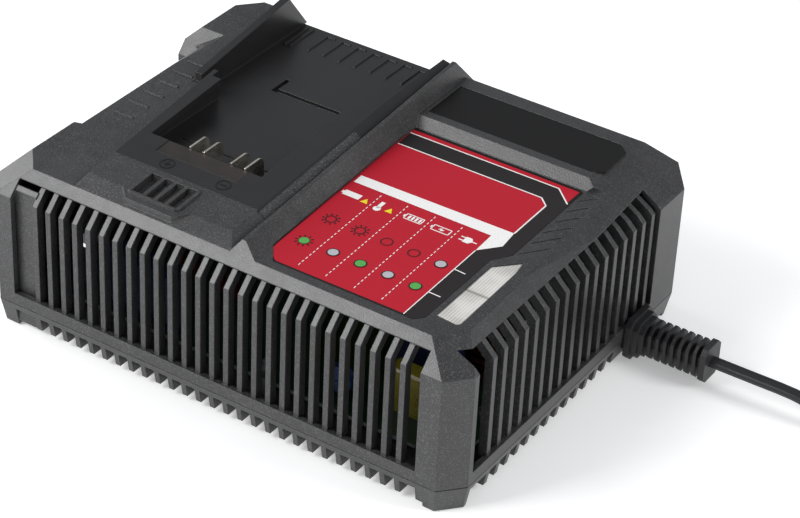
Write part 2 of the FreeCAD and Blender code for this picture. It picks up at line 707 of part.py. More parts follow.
def lower_housing():
    hx, hy = case_length / 2, case_depth / 2
    top = seam_z - seam_gap
    body = lower_shell_form(0, foot_tip_z, top)
    body = body.cut(lower_shell_form(wall, lower_edge_z + 2.4, top + 1))
    # The edge between the corner feet stands clear of the table.
    for x0, y0, x1, y1 in ((grille_left_x, -hy - 1, raised_right_x, hy + 1),
                           (-hx - 1, grille_front_y, hx + 1, raised_rear_y)):
        body = body.cut(box(x0, y0, -1, x1, y1, lower_edge_z))
    slots = []
    for i in range(front_ribs - 1):
        x = front_first_x + front_rib + front_pitch * i
        for y0, y1 in ((-hy - 1, -hy + lower_slot_in), (hy - lower_slot_in, hy + 1)):
            slots.append(box(x, y0, 0, x + front_pitch - front_rib, y1, lower_slot_top))
    for j in range(side_ribs - 1):
        y = side_first_y + side_rib + side_pitch * j
        near_cord = abs(y + 2.3 - cord_y) < relief_neck_y + 3.0
        if not near_cord:
            slots.append(box(hx - lower_slot_in, y, 0, hx + 1, y + side_pitch - side_rib, lower_slot_top))
        if abs(y + 2.3) < inlet_half:
            slots.append(box(-hx - 1, y, 0, -hx + lower_slot_in, y + side_pitch - side_rib, lower_slot_top))
    end_x = front_first_x + front_pitch * (front_ribs - 1) + front_rib
    slots.append(box(end_x, -hy - 1, 0, grille_right_x, -hy + lower_slot_in, lower_slot_top))
    slots.append(box(hx - lower_slot_in, grille_front_y, 0, hx + 1, side_first_y, lower_slot_top))
    slots.append(box(grille_left_x, -hy - 1, 0, front_first_x - 0.2, -hy + 1.8, lower_slot_top))
    body = body.cut(Part.makeCompound(slots))
    extras = []
    for sx in (-1, 1):
        for sy in (-1, 1):
            extras.append(rod(boss_radius, top - 3.0, (sx * screw_x, sy * screw_y, 3.0)))
            extras.append(rod(foot_radius + 1.6, 2.6, (sx * foot_x, sy * foot_y, foot_recess_z)))
    extras += board_posts()
    extras += fan_guides()
    body = body.fuse([e.common(lower_shell_form(0, foot_tip_z, top)) if e.BoundBox.ZMax < top
                      else e for e in extras])
    for sx in (-1, 1):
        for sy in (-1, 1):
            at = (sx * screw_x, sy * screw_y)
            body = body.cut(rod(screw_head + 0.4, screw_head_z + 1, (at[0], at[1], -1)))
            body = body.cut(rod(screw_radius + 0.3, 20, (at[0], at[1], 0)))
            body = body.cut(rod(foot_radius, foot_recess_z + 1, (sx * foot_x, sy * foot_y, -1.0)))
    body = body.cut(relief_hole())
    return body.removeSplitter()


def board_posts():
    posts = []
    for x, y in board_post_at:
        post = rod(3.6, board_z - 4.0, (x, y, 4.0)).cut(rod(1.3, board_z, (x, y, 6.5)))
        posts.append(post)
    for x, y in port_post_at:
        posts.append(rod(3.0, port_board_z - 4.0, (x, y, 4.0)).cut(rod(1.3, 30.0, (x, y, 14.0))))
    return posts


def fan_guides():
    """Two grooved posts that the fan's frame drops into."""
    guides = []
    for side in (-1, 1):
        y = side * (fan_size / 2 + 0.2)
        y0, y1 = min(y, y + side * 2.0), max(y, y + side * 2.0)
        guides.append(box(fan_x - 2.0, y0, 4.0, fan_x + fan_thick + 2.0, y1, 26.0))
        z0, z1 = min(y - side * 2.5, y1 if side > 0 else y0), max(y - side * 2.5, y1 if side > 0 else y0)
        guides.append(box(fan_x - 2.0, z0, 4.0, fan_x - 0.3, z1, 26.0))
        guides.append(box(fan_x + fan_thick + 0.3, z0, 4.0, fan_x + fan_thick + 2.0, z1, 26.0))
    return guides


def fan_frame():
    half = fan_size / 2
    mid = fan_z + half
    body = box(fan_x, -half, fan_z, fan_x + fan_thick, half, fan_z + fan_size)
    body = body.cut(rod(fan_bore, fan_thick + 2, (fan_x - 1, 0, mid), (1, 0, 0)))
    hub = rod(fan_hub, 2.6, (fan_x, 0, mid), (1, 0, 0))
    spokes = [box(fan_x, -fan_bore - 1, mid - 1.2, fan_x + 2.0, fan_bore + 1, mid + 1.2),
              box(fan_x, -1.2, mid - fan_bore - 1, fan_x + 2.0, 1.2, mid + fan_bore + 1)]
    collar = rod(3.0, 7.0, (fan_x, 0, mid), (1, 0, 0))
    body = join([body, hub, collar] + spokes)
    body = body.cut(rod(fan_shaft + fan_bearing_gap, 9.0, (fan_x + 0.8, 0, mid), (1, 0, 0)))
    for sy in (-1, 1):
        for sz in (-1, 1):
            hole = rod(2.1, fan_thick + 2, (fan_x - 1, sy * (half - 4), mid + sz * (half - 4)), (1, 0, 0))
            body = body.cut(hole)
    return body


def fan_rotor():
    mid = fan_z + fan_size / 2
    x0 = fan_x + 3.2
    cup = rod(fan_hub, fan_thick - 4.4, (x0, 0, mid), (1, 0, 0))
    cup = cup.cut(rod(fan_hub - 1.4, fan_thick - 6.2, (x0 - 0.01, 0, mid), (1, 0, 0)))
    shaft = rod(fan_shaft, fan_thick - 4.4 + 2.0, (fan_x + 1.2, 0, mid), (1, 0, 0))
    tip = fan_bore - fan_tip_gap
    blades = []
    for i in range(fan_blades):
        vane = box(x0 + 0.8, fan_hub - 1.0, mid - 0.8, x0 + fan_thick - 5.4, tip, mid + 0.8)
        vane.rotate(V(x0 + 5, 0, mid), V(0, 1, 0), 38)
        vane.rotate(V(0, 0, mid), V(1, 0, 0), 360.0 * i / fan_blades)
        blades.append(vane)
    keep = rod(tip, fan_thick - 4.4, (x0, 0, mid), (1, 0, 0))
    blades = [b.common(keep).cut(rod(fan_hub - 0.7, 40, (fan_x, 0, mid), (1, 0, 0))) for b in blades]
    return join([cup, shaft] + blades)


def rubber_feet():
    feet = [rod(foot_radius - 0.1, foot_recess_z, (sx * foot_x, sy * foot_y, 0))
            for sx in (-1, 1) for sy in (-1, 1)]
    return Part.makeCompound(feet)


def screw(x, y, head_low, head_radius, head_height, radius, length, up):
    """Cross-head screw: head with its slots on one side, plain shank on the other."""
    half = 0.4
    reach = head_radius * 0.62
    slot = head_height * 0.55
    if up:
        shank = rod(radius, length, (x, y, head_low + head_height - 0.1))
        z0, z1 = head_low - 0.1, head_low + slot
    else:
        shank = rod(radius, length, (x, y, head_low - length + 0.1))
        z0, z1 = head_low + head_height - slot, head_low + head_height + 0.1
    head = rod(head_radius, head_height, (x, y, head_low))
    head = head.cut(box(x - reach, y - half, z0, x + reach, y + half, z1))
    head = head.cut(box(x - half, y - reach, z0, x + half, y + reach, z1))
    return join([head, shank])


def case_screws():
    return Part.makeCompound([screw(sx * screw_x, sy * screw_y, screw_head_z - 2.2, screw_head, 2.2,
                                    screw_radius, 20.0, True) for sx in (-1, 1) for sy in (-1, 1)])


def board_screws():
    out = [screw(x, y, board_top, 2.6, 1.8, 1.2, 7.0, False) for x, y in board_post_at]
    out += [screw(x, y, port_board_z + board_thickness, 2.4, 1.6, 1.2, 7.0, False)
            for x, y in port_post_at]
    return Part.makeCompound(out)


def main_board():
    notch_x = board_right_x - 11.0
    notch_y = board_front_y + 8.0
    port_front_y = case_depth / 2 - wall - 34.4
    outline = [(board_left_x, board_front_y), (notch_x, board_front_y), (notch_x, notch_y),
               (board_right_x, notch_y), (board_right_x, cord_y - 11.0), (board_right_x - 7.0, cord_y - 11.0),
               (board_right_x - 7.0, port_front_y), (port_x - 20.0, port_front_y),
               (port_x - 20.0, board_rear_y), (board_left_x, board_rear_y)]
    body = prism(outline, board_z, board_top)
    for x, y in board_post_at:
        body = body.cut(rod(1.4, 6.0, (x, y, board_z - 2)))
    return body


def transformer_core():
    """Two E-shaped ferrite halves set together, standing upright across the board."""
    x0, y0 = core_x - core_length / 2, core_y - core_width / 2
    low = board_top + 2.0
    body = box(x0, y0, low, x0 + core_length, y0 + core_width, low + core_height)
    window = (core_length - 2 * core_leg - core_middle) / 2
    for x in (x0 + core_leg, x0 + core_length - core_leg - window):
        body = body.cut(box(x, y0 - 1, low + core_leg, x + window, y0 + core_width + 1,
                            low + core_height - core_leg))
    return body


def transformer_winding():
    """Bobbin with its flanges, wound coil and pin block round the middle leg."""
    low = board_top + 2.0 + core_leg + winding_gap / 2
    high = board_top + 2.0 + core_height - core_leg - winding_gap / 2
    window = (core_length - 2 * core_leg - core_middle) / 2
    coil = winding_block(window - winding_gap - 1.2, low, high)
    flange = winding_block(window - winding_gap, low, low + 1.5)
    cap = winding_block(window - winding_gap, high - 1.5, high)
    body = join([coil, flange, cap])
    gap = winding_gap / 2
    y0 = core_y - core_width / 2
    middle = box(core_x - core_middle / 2 - gap, y0 - gap, 0,
                 core_x + core_middle / 2 + gap, y0 + core_width + gap, 90)
    body = body.cut(middle)
    for side in (-1, 1):
        y = core_y + side * (core_width / 2 + winding_depth - 1.5)
        foot = box(core_x - core_middle / 2, min(y - 1.5, y + 1.5), board_top,
                   core_x + core_middle / 2, max(y - 1.5, y + 1.5), low + 1.0)
        body = body.fuse(foot)
    return body.removeSplitter()


def winding_block(reach, low, high):
    x = core_middle / 2 + reach
    y = core_width / 2 + winding_depth
    block = box(core_x - x, core_y - y, low, core_x + x, core_y + y, high)
    upright = [e for e in block.Edges if abs(e.tangentAt(0).z) > 0.9]
    return block.makeFillet(3.0, upright)


def can(x, y, radius, height, score):
    """Upright capacitor: crimped can with a cross scored in its top."""
    body = rod(radius, height, (x, y, board_top))
    groove = rod(radius + 1, 1.2, (x, y, board_top + 2.4)).cut(rod(radius - 0.5, 1.2, (x, y, board_top + 2.4)))
    top = board_top + height
    cross = box(x - score, y - 0.3, top - 0.4, x + score, y + 0.3, top + 1)
    other = box(x - 0.3, y - score, top - 0.4, x + 0.3, y + score, top + 1)
    return body.cut(groove).cut(cross).cut(other)


def heat_sink(x0, x1, y, fins_back):
    """Aluminium section: upright plate with fins on one side and two mounting tongues."""
    side = 1 if fins_back else -1
    plate_far = y + side * sink_thickness
    body = box(x0, min(y, plate_far), board_top, x1, max(y, plate_far), board_top + sink_height)
    count = int((x1 - x0) // 6)
    pitch = (x1 - x0 - 1.4) / count
    fins = []
    for i in range(count + 1):
        x = x0 + pitch * i
        tip = plate_far + side * sink_fin_depth
        fins.append(box(x, min(plate_far, tip), board_top + 2, x + 1.4, max(plate_far, tip),
                        board_top + sink_height))
    return join([body] + fins)


def transistor(x, y, side):
    """Three-lead power device, its tab flat against a heat sink's face."""
    z = board_top + 4.0
    tab = box(x - 5, min(y, y - side * 1.3), z, x + 5, max(y, y - side * 1.3), z + 15.5)
    tab = tab.cut(rod(1.8, 4.0, (x, y - 2.0, z + 13.0), (0, 1, 0)))
    slab = box(x - 5, min(y, y - side * 4.4), z, x + 5, max(y, y - side * 4.4), z + 9.0)
    mid = y - side * 2.6
    legs = [box(x + dx - 0.4, mid - 0.25, board_top, x + dx + 0.4, mid + 0.25, z + 0.5)
            for dx in (-2.54, 0.0, 2.54)]
    return join([tab, slab] + legs)


def power_transistors():
    x0, x1, y = primary_sink
    u0, u1, v = secondary_sink
    out = [transistor(x0 + 12.0, y, -1), transistor(x1 - 12.0, y, -1)]
    out += [transistor(u0 + 14.0, v, 1), transistor(u1 - 14.0, v, 1)]
    return Part.makeCompound(out)


def bridge_rectifier():
    z = board_top + 3.5
    slab = box(bridge_x - 10.5, bridge_y, z, bridge_x + 10.5, bridge_y + 3.8, z + 17.0)
    slab = slab.cut(rod(1.7, 6.0, (bridge_x, bridge_y - 1, z + 12.5), (0, 1, 0)))
    legs = [box(bridge_x + dx - 0.6, bridge_y + 1.5, board_top, bridge_x + dx + 0.6, bridge_y + 2.3, z + 0.5)
            for dx in (-7.62, -2.54, 2.54, 7.62)]
    return join([slab] + legs)


def film_capacitor():
    x0, y0, x1, y1, height = film_cap
    block = box(x0, y0, board_top, x1, y1, board_top + height)
    return block.makeChamfer(1.0, [e for e in block.Edges if e.BoundBox.ZMin > board_top + 1])


def common_mode_choke():
    """Wound ring standing on edge: ring core with a winding round each half."""
    mid = board_top + choke_radius + 1.6
    ring = rod(choke_radius - 1.6, choke_width - 2.4, (choke_x - choke_width / 2 + 1.2, choke_y, mid), (1, 0, 0))
    ring = ring.cut(rod(choke_bore + 1.4, choke_width, (choke_x - choke_width / 2, choke_y, mid), (1, 0, 0)))
    turns = []
    outer = rod(choke_radius, choke_width, (choke_x - choke_width / 2, choke_y, mid), (1, 0, 0))
    outer = outer.cut(rod(choke_bore, choke_width + 2, (choke_x - choke_width / 2 - 1, choke_y, mid), (1, 0, 0)))
    for i in range(16):
        angle = 22.5 * i + 11.25
        near_middle = abs((angle % 180) - 90) < 12
        if near_middle:
            continue
        bar = box(choke_x - choke_width, choke_y, mid - 0.7, choke_x + choke_width, choke_y + choke_radius + 1, mid + 0.7)
        bar.rotate(V(choke_x, choke_y, mid), V(1, 0, 0), angle)
        turns.append(outer.common(bar))
    base = box(choke_x - 6, choke_y - 8, board_top, choke_x + 6, choke_y + 8, board_top + 3.6)
    return join([ring, base] + turns)


def varistor():
    mid = board_top + varistor_radius + 3.0
    disc = rod(varistor_radius, varistor_width, (varistor_x, varistor_y - varistor_width / 2, mid), (0, 1, 0))
    legs = [rod(0.4, 6.0, (varistor_x + dx, varistor_y, board_top)) for dx in (-3.0, 3.0)]
    return join([disc] + legs)


def mains_fuse():
    """Glass fuse in two spring clips, lying along the board."""
    z = board_top + fuse_radius + 2.4
    y0 = fuse_y - fuse_length / 2
    body = rod(fuse_radius - 0.3, fuse_length, (fuse_x, y0, z), (0, 1, 0))
    caps = [rod(fuse_radius, 5.0, (fuse_x, y, z), (0, 1, 0)) for y in (y0, y0 + fuse_length - 5.0)]
    clips = [box(fuse_x - 3.2, y, board_top, fuse_x + 3.2, y + 3.0, z + 0.8)
             for y in (y0 + 1.0, y0 + fuse_length - 4.0)]
    return join([body] + caps + clips)


def port_board():
    rear = case_depth / 2 - wall - 0.4
    body = box(port_x - 17.0, rear - 28.0, port_board_z, port_x + 17.0, rear,
               port_board_z + board_thickness)
    for x, y in port_post_at:
        body = body.cut(rod(1.4, 6.0, (x, y, port_board_z - 2)))
    return body


def port_socket():
    """Folded metal shell with the contact tongue inside."""
    low = port_z - port_height / 2
    y1 = case_depth / 2 - 0.4
    y0 = y1 - port_depth
    shell = box(port_x - port_width / 2, y0, low, port_x + port_width / 2, y1, low + port_height)
    hollow = box(port_x - port_width / 2 + port_wall, y0 + 2.0, low + port_wall,
                 port_x + port_width / 2 - port_wall, y1 + 1, low + port_height - port_wall)
    tongue = box(port_x - 5.6, y0 + 1.0, low + port_height - port_wall - 2.0,
                 port_x + 5.6, y1 - 1.5, low + port_height - port_wall + 0.1)
    return join([shell.cut(hollow), tongue])


def indicator_board():
    return box(lens_x - 9.5, lens_y - 17.5, indicator_board_z, lens_x + 8.5, lens_y + 17.5,
               indicator_board_z + board_thickness)


def indicator_leds():
    z = indicator_board_z + board_thickness
    out = []
    for x, y in led_at:
        dome = Part.makeSphere(1.45, V(x, y, z + 2.2)).common(rod(1.45, 3.0, (x, y, z + 2.2)))
        out.append(join([rod(1.45, 2.2, (x, y, z)), rod(1.9, 0.8, (x, y, z)), dome]))
    return Part.makeCompound(out)


def bend_radius(before, corner, after):
    """Radius that leaves a straight piece between neighbouring bends."""
    a, b = V(*before) - V(*corner), V(*after) - V(*corner)
    turn = math.pi - a.getAngle(b)
    return 0.45 * min(a.Length, b.Length) / math.tan(turn / 2)


def flat_section(at):
    """Outline of the flat cord, square to X: round edges, flat faces above and below."""
    half = cord_thickness / 2
    straight = cord_width / 2 - half
    corners = [(-straight, -half), (straight, -half), (straight, half), (-straight, half)]
    a, b, c, d = [V(at[0], at[1] + y, at[2] + z) for y, z in corners]
    right = Part.Arc(b, V(at[0], at[1] + cord_width / 2, at[2]), c).toShape()
    left = Part.Arc(d, V(at[0], at[1] - cord_width / 2, at[2]), a).toShape()
    return Part.Wire([Part.LineSegment(a, b).toShape(), right, Part.LineSegment(c, d).toShape(), left])


def swept_flat(path, at):
    """The flat section carried along a path, its flat faces kept level."""
    shell = Part.BRepOffsetAPI.MakePipeShell(path)
    shell.setBiNormalMode(V(0, 0, 1))
    shell.add(flat_section(at))
    shell.build()
    shell.makeSolid()
    return shell.shape()


def flat_area():
    half = cord_thickness / 2
    return math.pi * half ** 2 + (cord_width - cord_thickness) * cord_thickness


def bent_tube(name, points, radius=None):
    """Tube along straight runs that meet in tangent arcs: round, or the flat cord's section."""
    edges, start, radii, length = [], V(*points[0]), [], 0.0
    for before, corner, after in zip(points, points[1:], points[2:]):
        a = (V(*before) - V(*corner)).normalize()
        b = (V(*after) - V(*corner)).normalize()
        turn = math.pi - a.getAngle(b)
        bend = bend_radius(before, corner, after)
        reach = bend * math.tan(turn / 2)
        first, last = V(*corner) + a * reach, V(*corner) + b * reach
        inward = (a + b).normalize()
        middle = V(*corner) + inward * (bend / math.cos(turn / 2) - bend)
        edges += [Part.LineSegment(start, first).toShape(), Part.Arc(first, middle, last).toShape()]
        start = last
        radii.append(round(bend, 1))
    edges.append(Part.LineSegment(start, V(*points[-1])).toShape())
    length = sum(e.Length for e in edges)
    direction = V(*points[1]) - V(*points[0])
    if radius is None:
        tube = swept_flat(Part.Wire(edges), points[0])
        area = flat_area()
    else:
        section = Part.Wire(Part.makeCircle(radius, V(*points[0]), direction))
        tube = Part.Wire(edges).makePipeShell([section], True, False)
        area = math.pi * radius ** 2
    print("%s bends %s length %.1f volume ratio %.4f" % (name, radii, length, tube.Volume / (area * length)))
    return tube


def battery_leads():
    """Four insulated wires from the blades' tails down to the board."""
    tail_z = floor_z - terminal_sink - tail_length
    y = terminal_front + 3.5
    wires = []
    for x in blade_x:
        path = [(x, y, tail_z), (x, y, tail_z - 8.0), (x - 3.0, y + 4.0, tail_z - 20.0),
                (x - 3.0, y + 4.0, board_top)]
        wires.append(bent_tube("battery lead", path, 1.2))
    return Part.makeCompound(wires)


def mains_leads():
    """The cord's two cores, from the strain relief up to the board."""
    wires = []
    for dy in (-1.6, 1.6):
        y = cord_y + dy
        foot_x, foot_y = board_right_x - 10.5, y - 14.0
        path = [(relief_inner_x, y, cord_exit_z), (relief_inner_x - 4.0, y, cord_exit_z),
                (relief_inner_x - 5.0, y, cord_exit_z + 9.0), (foot_x, foot_y + 3.0, cord_exit_z + 13.5),
                (foot_x, foot_y, cord_exit_z + 10.0), (foot_x, foot_y, board_top)]
        wires.append(bent_tube("mains lead", path, 1.2))
    return Part.makeCompound(wires)


def strain_relief():
    """Moulded sleeve: flange inside the case, neck, stepped root and a row of thin plates."""
    x = case_length / 2
    inside = box(relief_inner_x, cord_y - 9.0, 5.2, x - rib_setback - rib_depth - 0.4, cord_y + 9.0, 16.0)
    neck = box(relief_inner_x + 0.5, cord_y - relief_neck_y + 0.3, cord_exit_z - relief_neck_z + 0.3,
               relief_root_x + 0.5, cord_y + relief_neck_y - 0.3, cord_exit_z + relief_neck_z - 0.3)
    root = [(x0, half, up) for x0, half, up in ((0.0, 8.6, 8.8), (2.4, 7.6, 7.8), (4.6, 6.6, 6.8))]
    steps = []
    for x0, half, up in root:
        block = box(relief_root_x + x0, cord_y - half, cord_exit_z - up, relief_root_x + x0 + 2.5,
                    cord_y + half, cord_exit_z + up)
        steps.append(block.makeChamfer(2.4, [e for e in block.Edges if abs(e.tangentAt(0).x) > 0.9]))
    core = box(relief_root_x + 4.0, cord_y - relief_core_y, cord_exit_z - relief_core_z,
               relief_end_x, cord_y + relief_core_y, cord_exit_z + relief_core_z)
    core = core.makeChamfer(1.0, [e for e in core.Edges if abs(e.tangentAt(0).x) > 0.9])
    plates = []
    for i in range(relief_discs):
        grow = 0.5 if i == relief_discs - 1 else 0.0
        thick = relief_disc + 2 * grow
        x0 = relief_end_x - thick if grow else relief_root_x + 8.6 + i * relief_pitch
        plate = box(x0, cord_y - relief_plate_y - grow, cord_exit_z - relief_plate_z - grow,
                    x0 + thick, cord_y + relief_plate_y + grow, cord_exit_z + relief_plate_z + grow)
        plates.append(plate.makeChamfer(2.2, [e for e in plate.Edges if abs(e.tangentAt(0).x) > 0.9]))
    return join([inside, neck, core] + steps + plates)


def half_turn(start, radius, going_up_y, rise):
    """Half circle from the side nearer the front to the rear one, or back."""
    sy = 1 if going_up_y else -1
    end = V(start.x, start.y + sy * 2 * radius, start.z + rise)
    middle = V(start.x + sy * radius, start.y + sy * radius, start.z + rise / 2)
    return Part.Arc(start, middle, end).toShape(), end


def cord_coil():
    """Two layers of turns: the lower one winds in, the upper one winds back out."""
    point = V(coil_x - cord_width * 1.2, cord_y, coil_low_z)
    edges = [Part.LineSegment(point, V(coil_x, cord_y, coil_low_z)).toShape()]
    point = V(coil_x, cord_y, coil_low_z)
    radius, up = coil_outer, True
    crossings = {True: [], False: []}
    halves = 2 * coil_turns_per_layer
    for i in range(halves):
        edge, point = half_turn(point, radius, up, 0.0)
        crossings[up].append(point.y)
        edges.append(edge)
        radius -= cord_pitch / 2
        up = not up
    edge, point = half_turn(point, radius, up, layer_pitch)
    crossings[up].append(point.y)
    edges.append(edge)
    up = not up
    for i in range(halves - 1):
        radius += cord_pitch / 2
        edge, point = half_turn(point, radius, up, 0.0)
        crossings[up].append(point.y)
        edges.append(edge)
        up = not up
    sx = 1 if up else -1
    last = V(point.x + sx * cord_width * 1.2, point.y, point.z)
    edges.append(Part.LineSegment(point, last).toShape())
    coil = swept_flat(Part.Wire(edges), edges[0].Vertexes[0].Point)
    length = sum(e.Length for e in edges)
    print("coil length %.1f volume ratio %.4f least gap %.2f end %s heading %+d" % (
        length, coil.Volume / (flat_area() * length), least_gap(edges),
        tuple(round(c, 2) for c in last), sx))
    print("rear crossings", [round(c, 1) for c in crossings[True]],
          "front crossings", [round(c, 1) for c in crossings[False]])
    return coil, last, crossings


def least_gap(edges):
    """Smallest clear distance between turns: side by side in a layer, or one layer over the other."""
    beside, over = 1e9, 1e9
    for i in range(len(edges)):
        for j in range(i + 2, len(edges)):
            distance = edges[i].distToShape(edges[j])[0]
            level = abs(edges[i].BoundBox.ZMin - edges[j].BoundBox.ZMin) < 0.01
            if level:
                beside = min(beside, distance - cord_width)
            else:
                over = min(over, distance - cord_thickness)
    return min(beside, over)


def coil_tie(crossings):
    """Strap round the bundle of turns at the rear of the coil."""
    clear = 0.6
    t = tie_thickness
    y0 = min(crossings) - cord_radius - clear
    y1 = max(crossings) + cord_radius + clear
    z0 = coil_low_z - cord_thickness / 2 - 0.05
    z1 = coil_high_z + cord_thickness / 2 + 0.3
    x0 = coil_x - tie_width / 2
    strap = box(x0, y0 - t, z0 - t, x0 + tie_width, y1 + t, z1 + t)
    strap = strap.makeChamfer(0.5, [e for e in strap.Edges if abs(e.tangentAt(0).x) > 0.9])
    strap = strap.cut(box(x0 - 1, y0, z0, x0 + tie_width + 1, y1, z1))
    tongue = box(x0, y0 + 3.0, z1 + t, x0 + tie_width, y0 + 17.0, z1 + 2 * t)
    return join([strap, tongue])


def plug_section(x, half_width, half_height, y, cut):
    points = [(-half_width + cut, -half_height), (half_width - cut, -half_height),
              (half_width, -half_height + cut), (half_width, half_height - cut),
              (half_width - cut, half_height), (-half_width + cut, half_height),
              (-half_width, half_height - cut), (-half_width, -half_height + cut)]
    return Part.makePolygon([V(x, y + a, plug_axis_z + b) for a, b in points + points[:1]])


def plug_body(x, y):
    """Moulded grip with its waist, and the sleeve that the cord comes out of."""
    sections = [plug_section(x + plug_sleeve - 0.5, 5.0, 4.4, y, 1.4),
                plug_section(x + plug_sleeve + 8.0, plug_waist / 2, plug_body_height / 2, y, 2.2),
                plug_section(x + plug_sleeve + plug_body_length, plug_body_width / 2,
                             plug_body_height / 2, y, 3.4)]
    grip = Part.makeLoft(sections, True, True)
    sleeve = Part.makeCone(cord_radius + 1.0, 4.4, plug_sleeve, V(x, y, plug_axis_z), V(1, 0, 0))
    rings = [rod(4.9, 1.4, (x + 3.0 + 3.6 * i, y, plug_axis_z), (1, 0, 0)) for i in range(4)]
    return join([grip, sleeve] + rings)


def plug_pins(x, y):
    pins = []
    face = x + plug_sleeve + plug_body_length
    for side in (-1, 1):
        centre = y + side * pin_spacing / 2
        pin = rod(pin_radius, pin_length - pin_radius, (face, centre, plug_axis_z), (1, 0, 0))
        tip = Part.makeSphere(pin_radius, V(face + pin_length - pin_radius, centre, plug_axis_z))
        body = join([pin, tip])
        band = rod(pin_radius + 1, 10.0, (face, centre, plug_axis_z), (1, 0, 0))
        band = band.cut(rod(pin_radius - 0.1, 10.0, (face, centre, plug_axis_z), (1, 0, 0)))
        pins.append(body.cut(band))
    return Part.makeCompound(pins)


def export(name, shape):
    shape.exportStep("parts/" + name + ".step")
    bb = shape.BoundBox
    print("%-24s %2d solid %9.1f mm3  x %.1f..%.1f y %.1f..%.1f z %.1f..%.1f" % (
        name, len(shape.Solids), shape.Volume, bb.XMin, bb.XMax, bb.YMin, bb.YMax, bb.ZMin, bb.ZMax))


def main():
    os.makedirs("parts", exist_ok=True)
    form, lip = top_form(0)
    skin = case_hull(0).cut(waist(0)).common(form).fuse([lip, rear_ear()]).removeSplitter()
    inner_form, inner_lip = top_form(wall)
    inner = case_hull(wall).cut(waist(wall)).common(inner_form)
    export("upper_housing", upper_housing(skin, inner))
    export("battery_cradle", battery_cradle(skin))
    export("lower_housing", lower_housing())
    export("terminal_block", terminal_block())
    for name, x in zip(blade_names, blade_x):
        export("contact_blade_" + name, blade(x))
    export("badge_plate", slanted(badge_plate_outline(), -badge_plate_recess,
                                  badge_plate_thickness - badge_plate_recess, badge_z(0), badge_tilt))
    export("label_membrane", slanted(label_outline(), -label_recess, label_thickness - label_recess,
                                     plateau_z(0), plateau_tilt))
    export("status_lens", slanted(lens_outline(), -lens_recess - lens_thickness, -lens_recess,
                                  plateau_z(0), plateau_tilt))
    export("fan_frame", fan_frame())
    export("fan_rotor", fan_rotor())
    export("rubber_feet", rubber_feet())
    export("case_screws", case_screws())
    export("board_screws", board_screws())
    export("main_board", main_board())
    export("transformer_core", transformer_core())
    export("transformer_winding", transformer_winding())
    export("bulk_capacitor", can(bulk_x, bulk_y, bulk_radius, bulk_height, 6.0))
    export("output_capacitors", Part.makeCompound(
        [can(x, y, output_cap_radius, output_cap_height, 2.4) for x, y in output_caps]))
    export("primary_heat_sink", heat_sink(*primary_sink, False))
    export("secondary_heat_sink", heat_sink(*secondary_sink, True))
    export("power_transistors", power_transistors())
    export("bridge_rectifier", bridge_rectifier())
    export("film_capacitor", film_capacitor())
    export("common_mode_choke", common_mode_choke())
    export("varistor", varistor())
    export("mains_fuse", mains_fuse())
    export("port_board", port_board())
    export("port_socket", port_socket())
    export("indicator_board", indicator_board())
    export("indicator_leds", indicator_leds())
    export("battery_leads", battery_leads())
    export("mains_leads", mains_leads())
    export("strain_relief", strain_relief())
    free = [(relief_end_x, cord_y, cord_exit_z), (relief_end_x + 16.0, cord_y, cord_exit_z),
            (relief_end_x + 40.0, cord_y + 0.8, cord_exit_z - 0.4),
            (coil_x - 18.0, cord_y, coil_low_z), (coil_x - cord_width * 1.2, cord_y, coil_low_z)]
    export("mains_cord", bent_tube("mains cord", free))
    coil, last, crossings = cord_coil()
    export("cord_coil", coil)
    export("coil_tie", coil_tie(crossings[True]))
    plug_x = last.x + 62.0
    lead = [(last.x, last.y, last.z), (last.x + 14.0, last.y, last.z),
            (last.x + 32.0, last.y - 0.8, (last.z + plug_axis_z) / 2),
            (plug_x - 14.0, last.y, plug_axis_z), (plug_x, last.y, plug_axis_z)]
    export("plug_lead", bent_tube("plug lead", lead))
    export("plug_body", plug_body(plug_x, last.y))
    export("plug_pins", plug_pins(plug_x, last.y))


if __name__ == "__main__":
    main()
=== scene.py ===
import math

import bpy
import numpy as np
from mathutils import Matrix, Vector


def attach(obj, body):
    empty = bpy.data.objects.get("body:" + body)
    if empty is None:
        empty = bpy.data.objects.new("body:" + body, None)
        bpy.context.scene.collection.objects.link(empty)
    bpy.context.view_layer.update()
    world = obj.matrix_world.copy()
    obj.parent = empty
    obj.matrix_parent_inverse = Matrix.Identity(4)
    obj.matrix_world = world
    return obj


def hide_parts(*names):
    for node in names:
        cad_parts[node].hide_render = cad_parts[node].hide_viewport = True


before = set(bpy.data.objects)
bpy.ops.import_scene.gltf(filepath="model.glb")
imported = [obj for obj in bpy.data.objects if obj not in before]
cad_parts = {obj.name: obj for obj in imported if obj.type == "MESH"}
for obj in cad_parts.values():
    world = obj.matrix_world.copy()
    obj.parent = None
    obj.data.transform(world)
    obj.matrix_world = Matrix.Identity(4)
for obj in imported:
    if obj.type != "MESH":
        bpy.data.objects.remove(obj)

bl_info = {
    "name": "Battery charger looks",
    "version": (1, 0, 0),
    "blender": (4, 5, 0),
    "location": "View3D > Sidebar > Charger",
    "description": "Materials, label print, flat cord and studio for a tool battery charger",
    "category": "Object",
}

MM = 0.001

# Sizes and places are in millimetres, rises in degrees. X runs along the case, Y to its back, Z up.
LABEL_FRONT_Y, LABEL_Z, LABEL_RECESS, LABEL_RISE = -73.4, 67.4, 0.2, 1.0
DECK_FRONT_Y, DECK_Z, DECK_RISE = -70.8, 70.6, 4.1
LENS_DIVIDER_Y = -43.8
POLARITY_MARKS = ((-45.4, -47.1, True), (-20.4, -46.5, False))

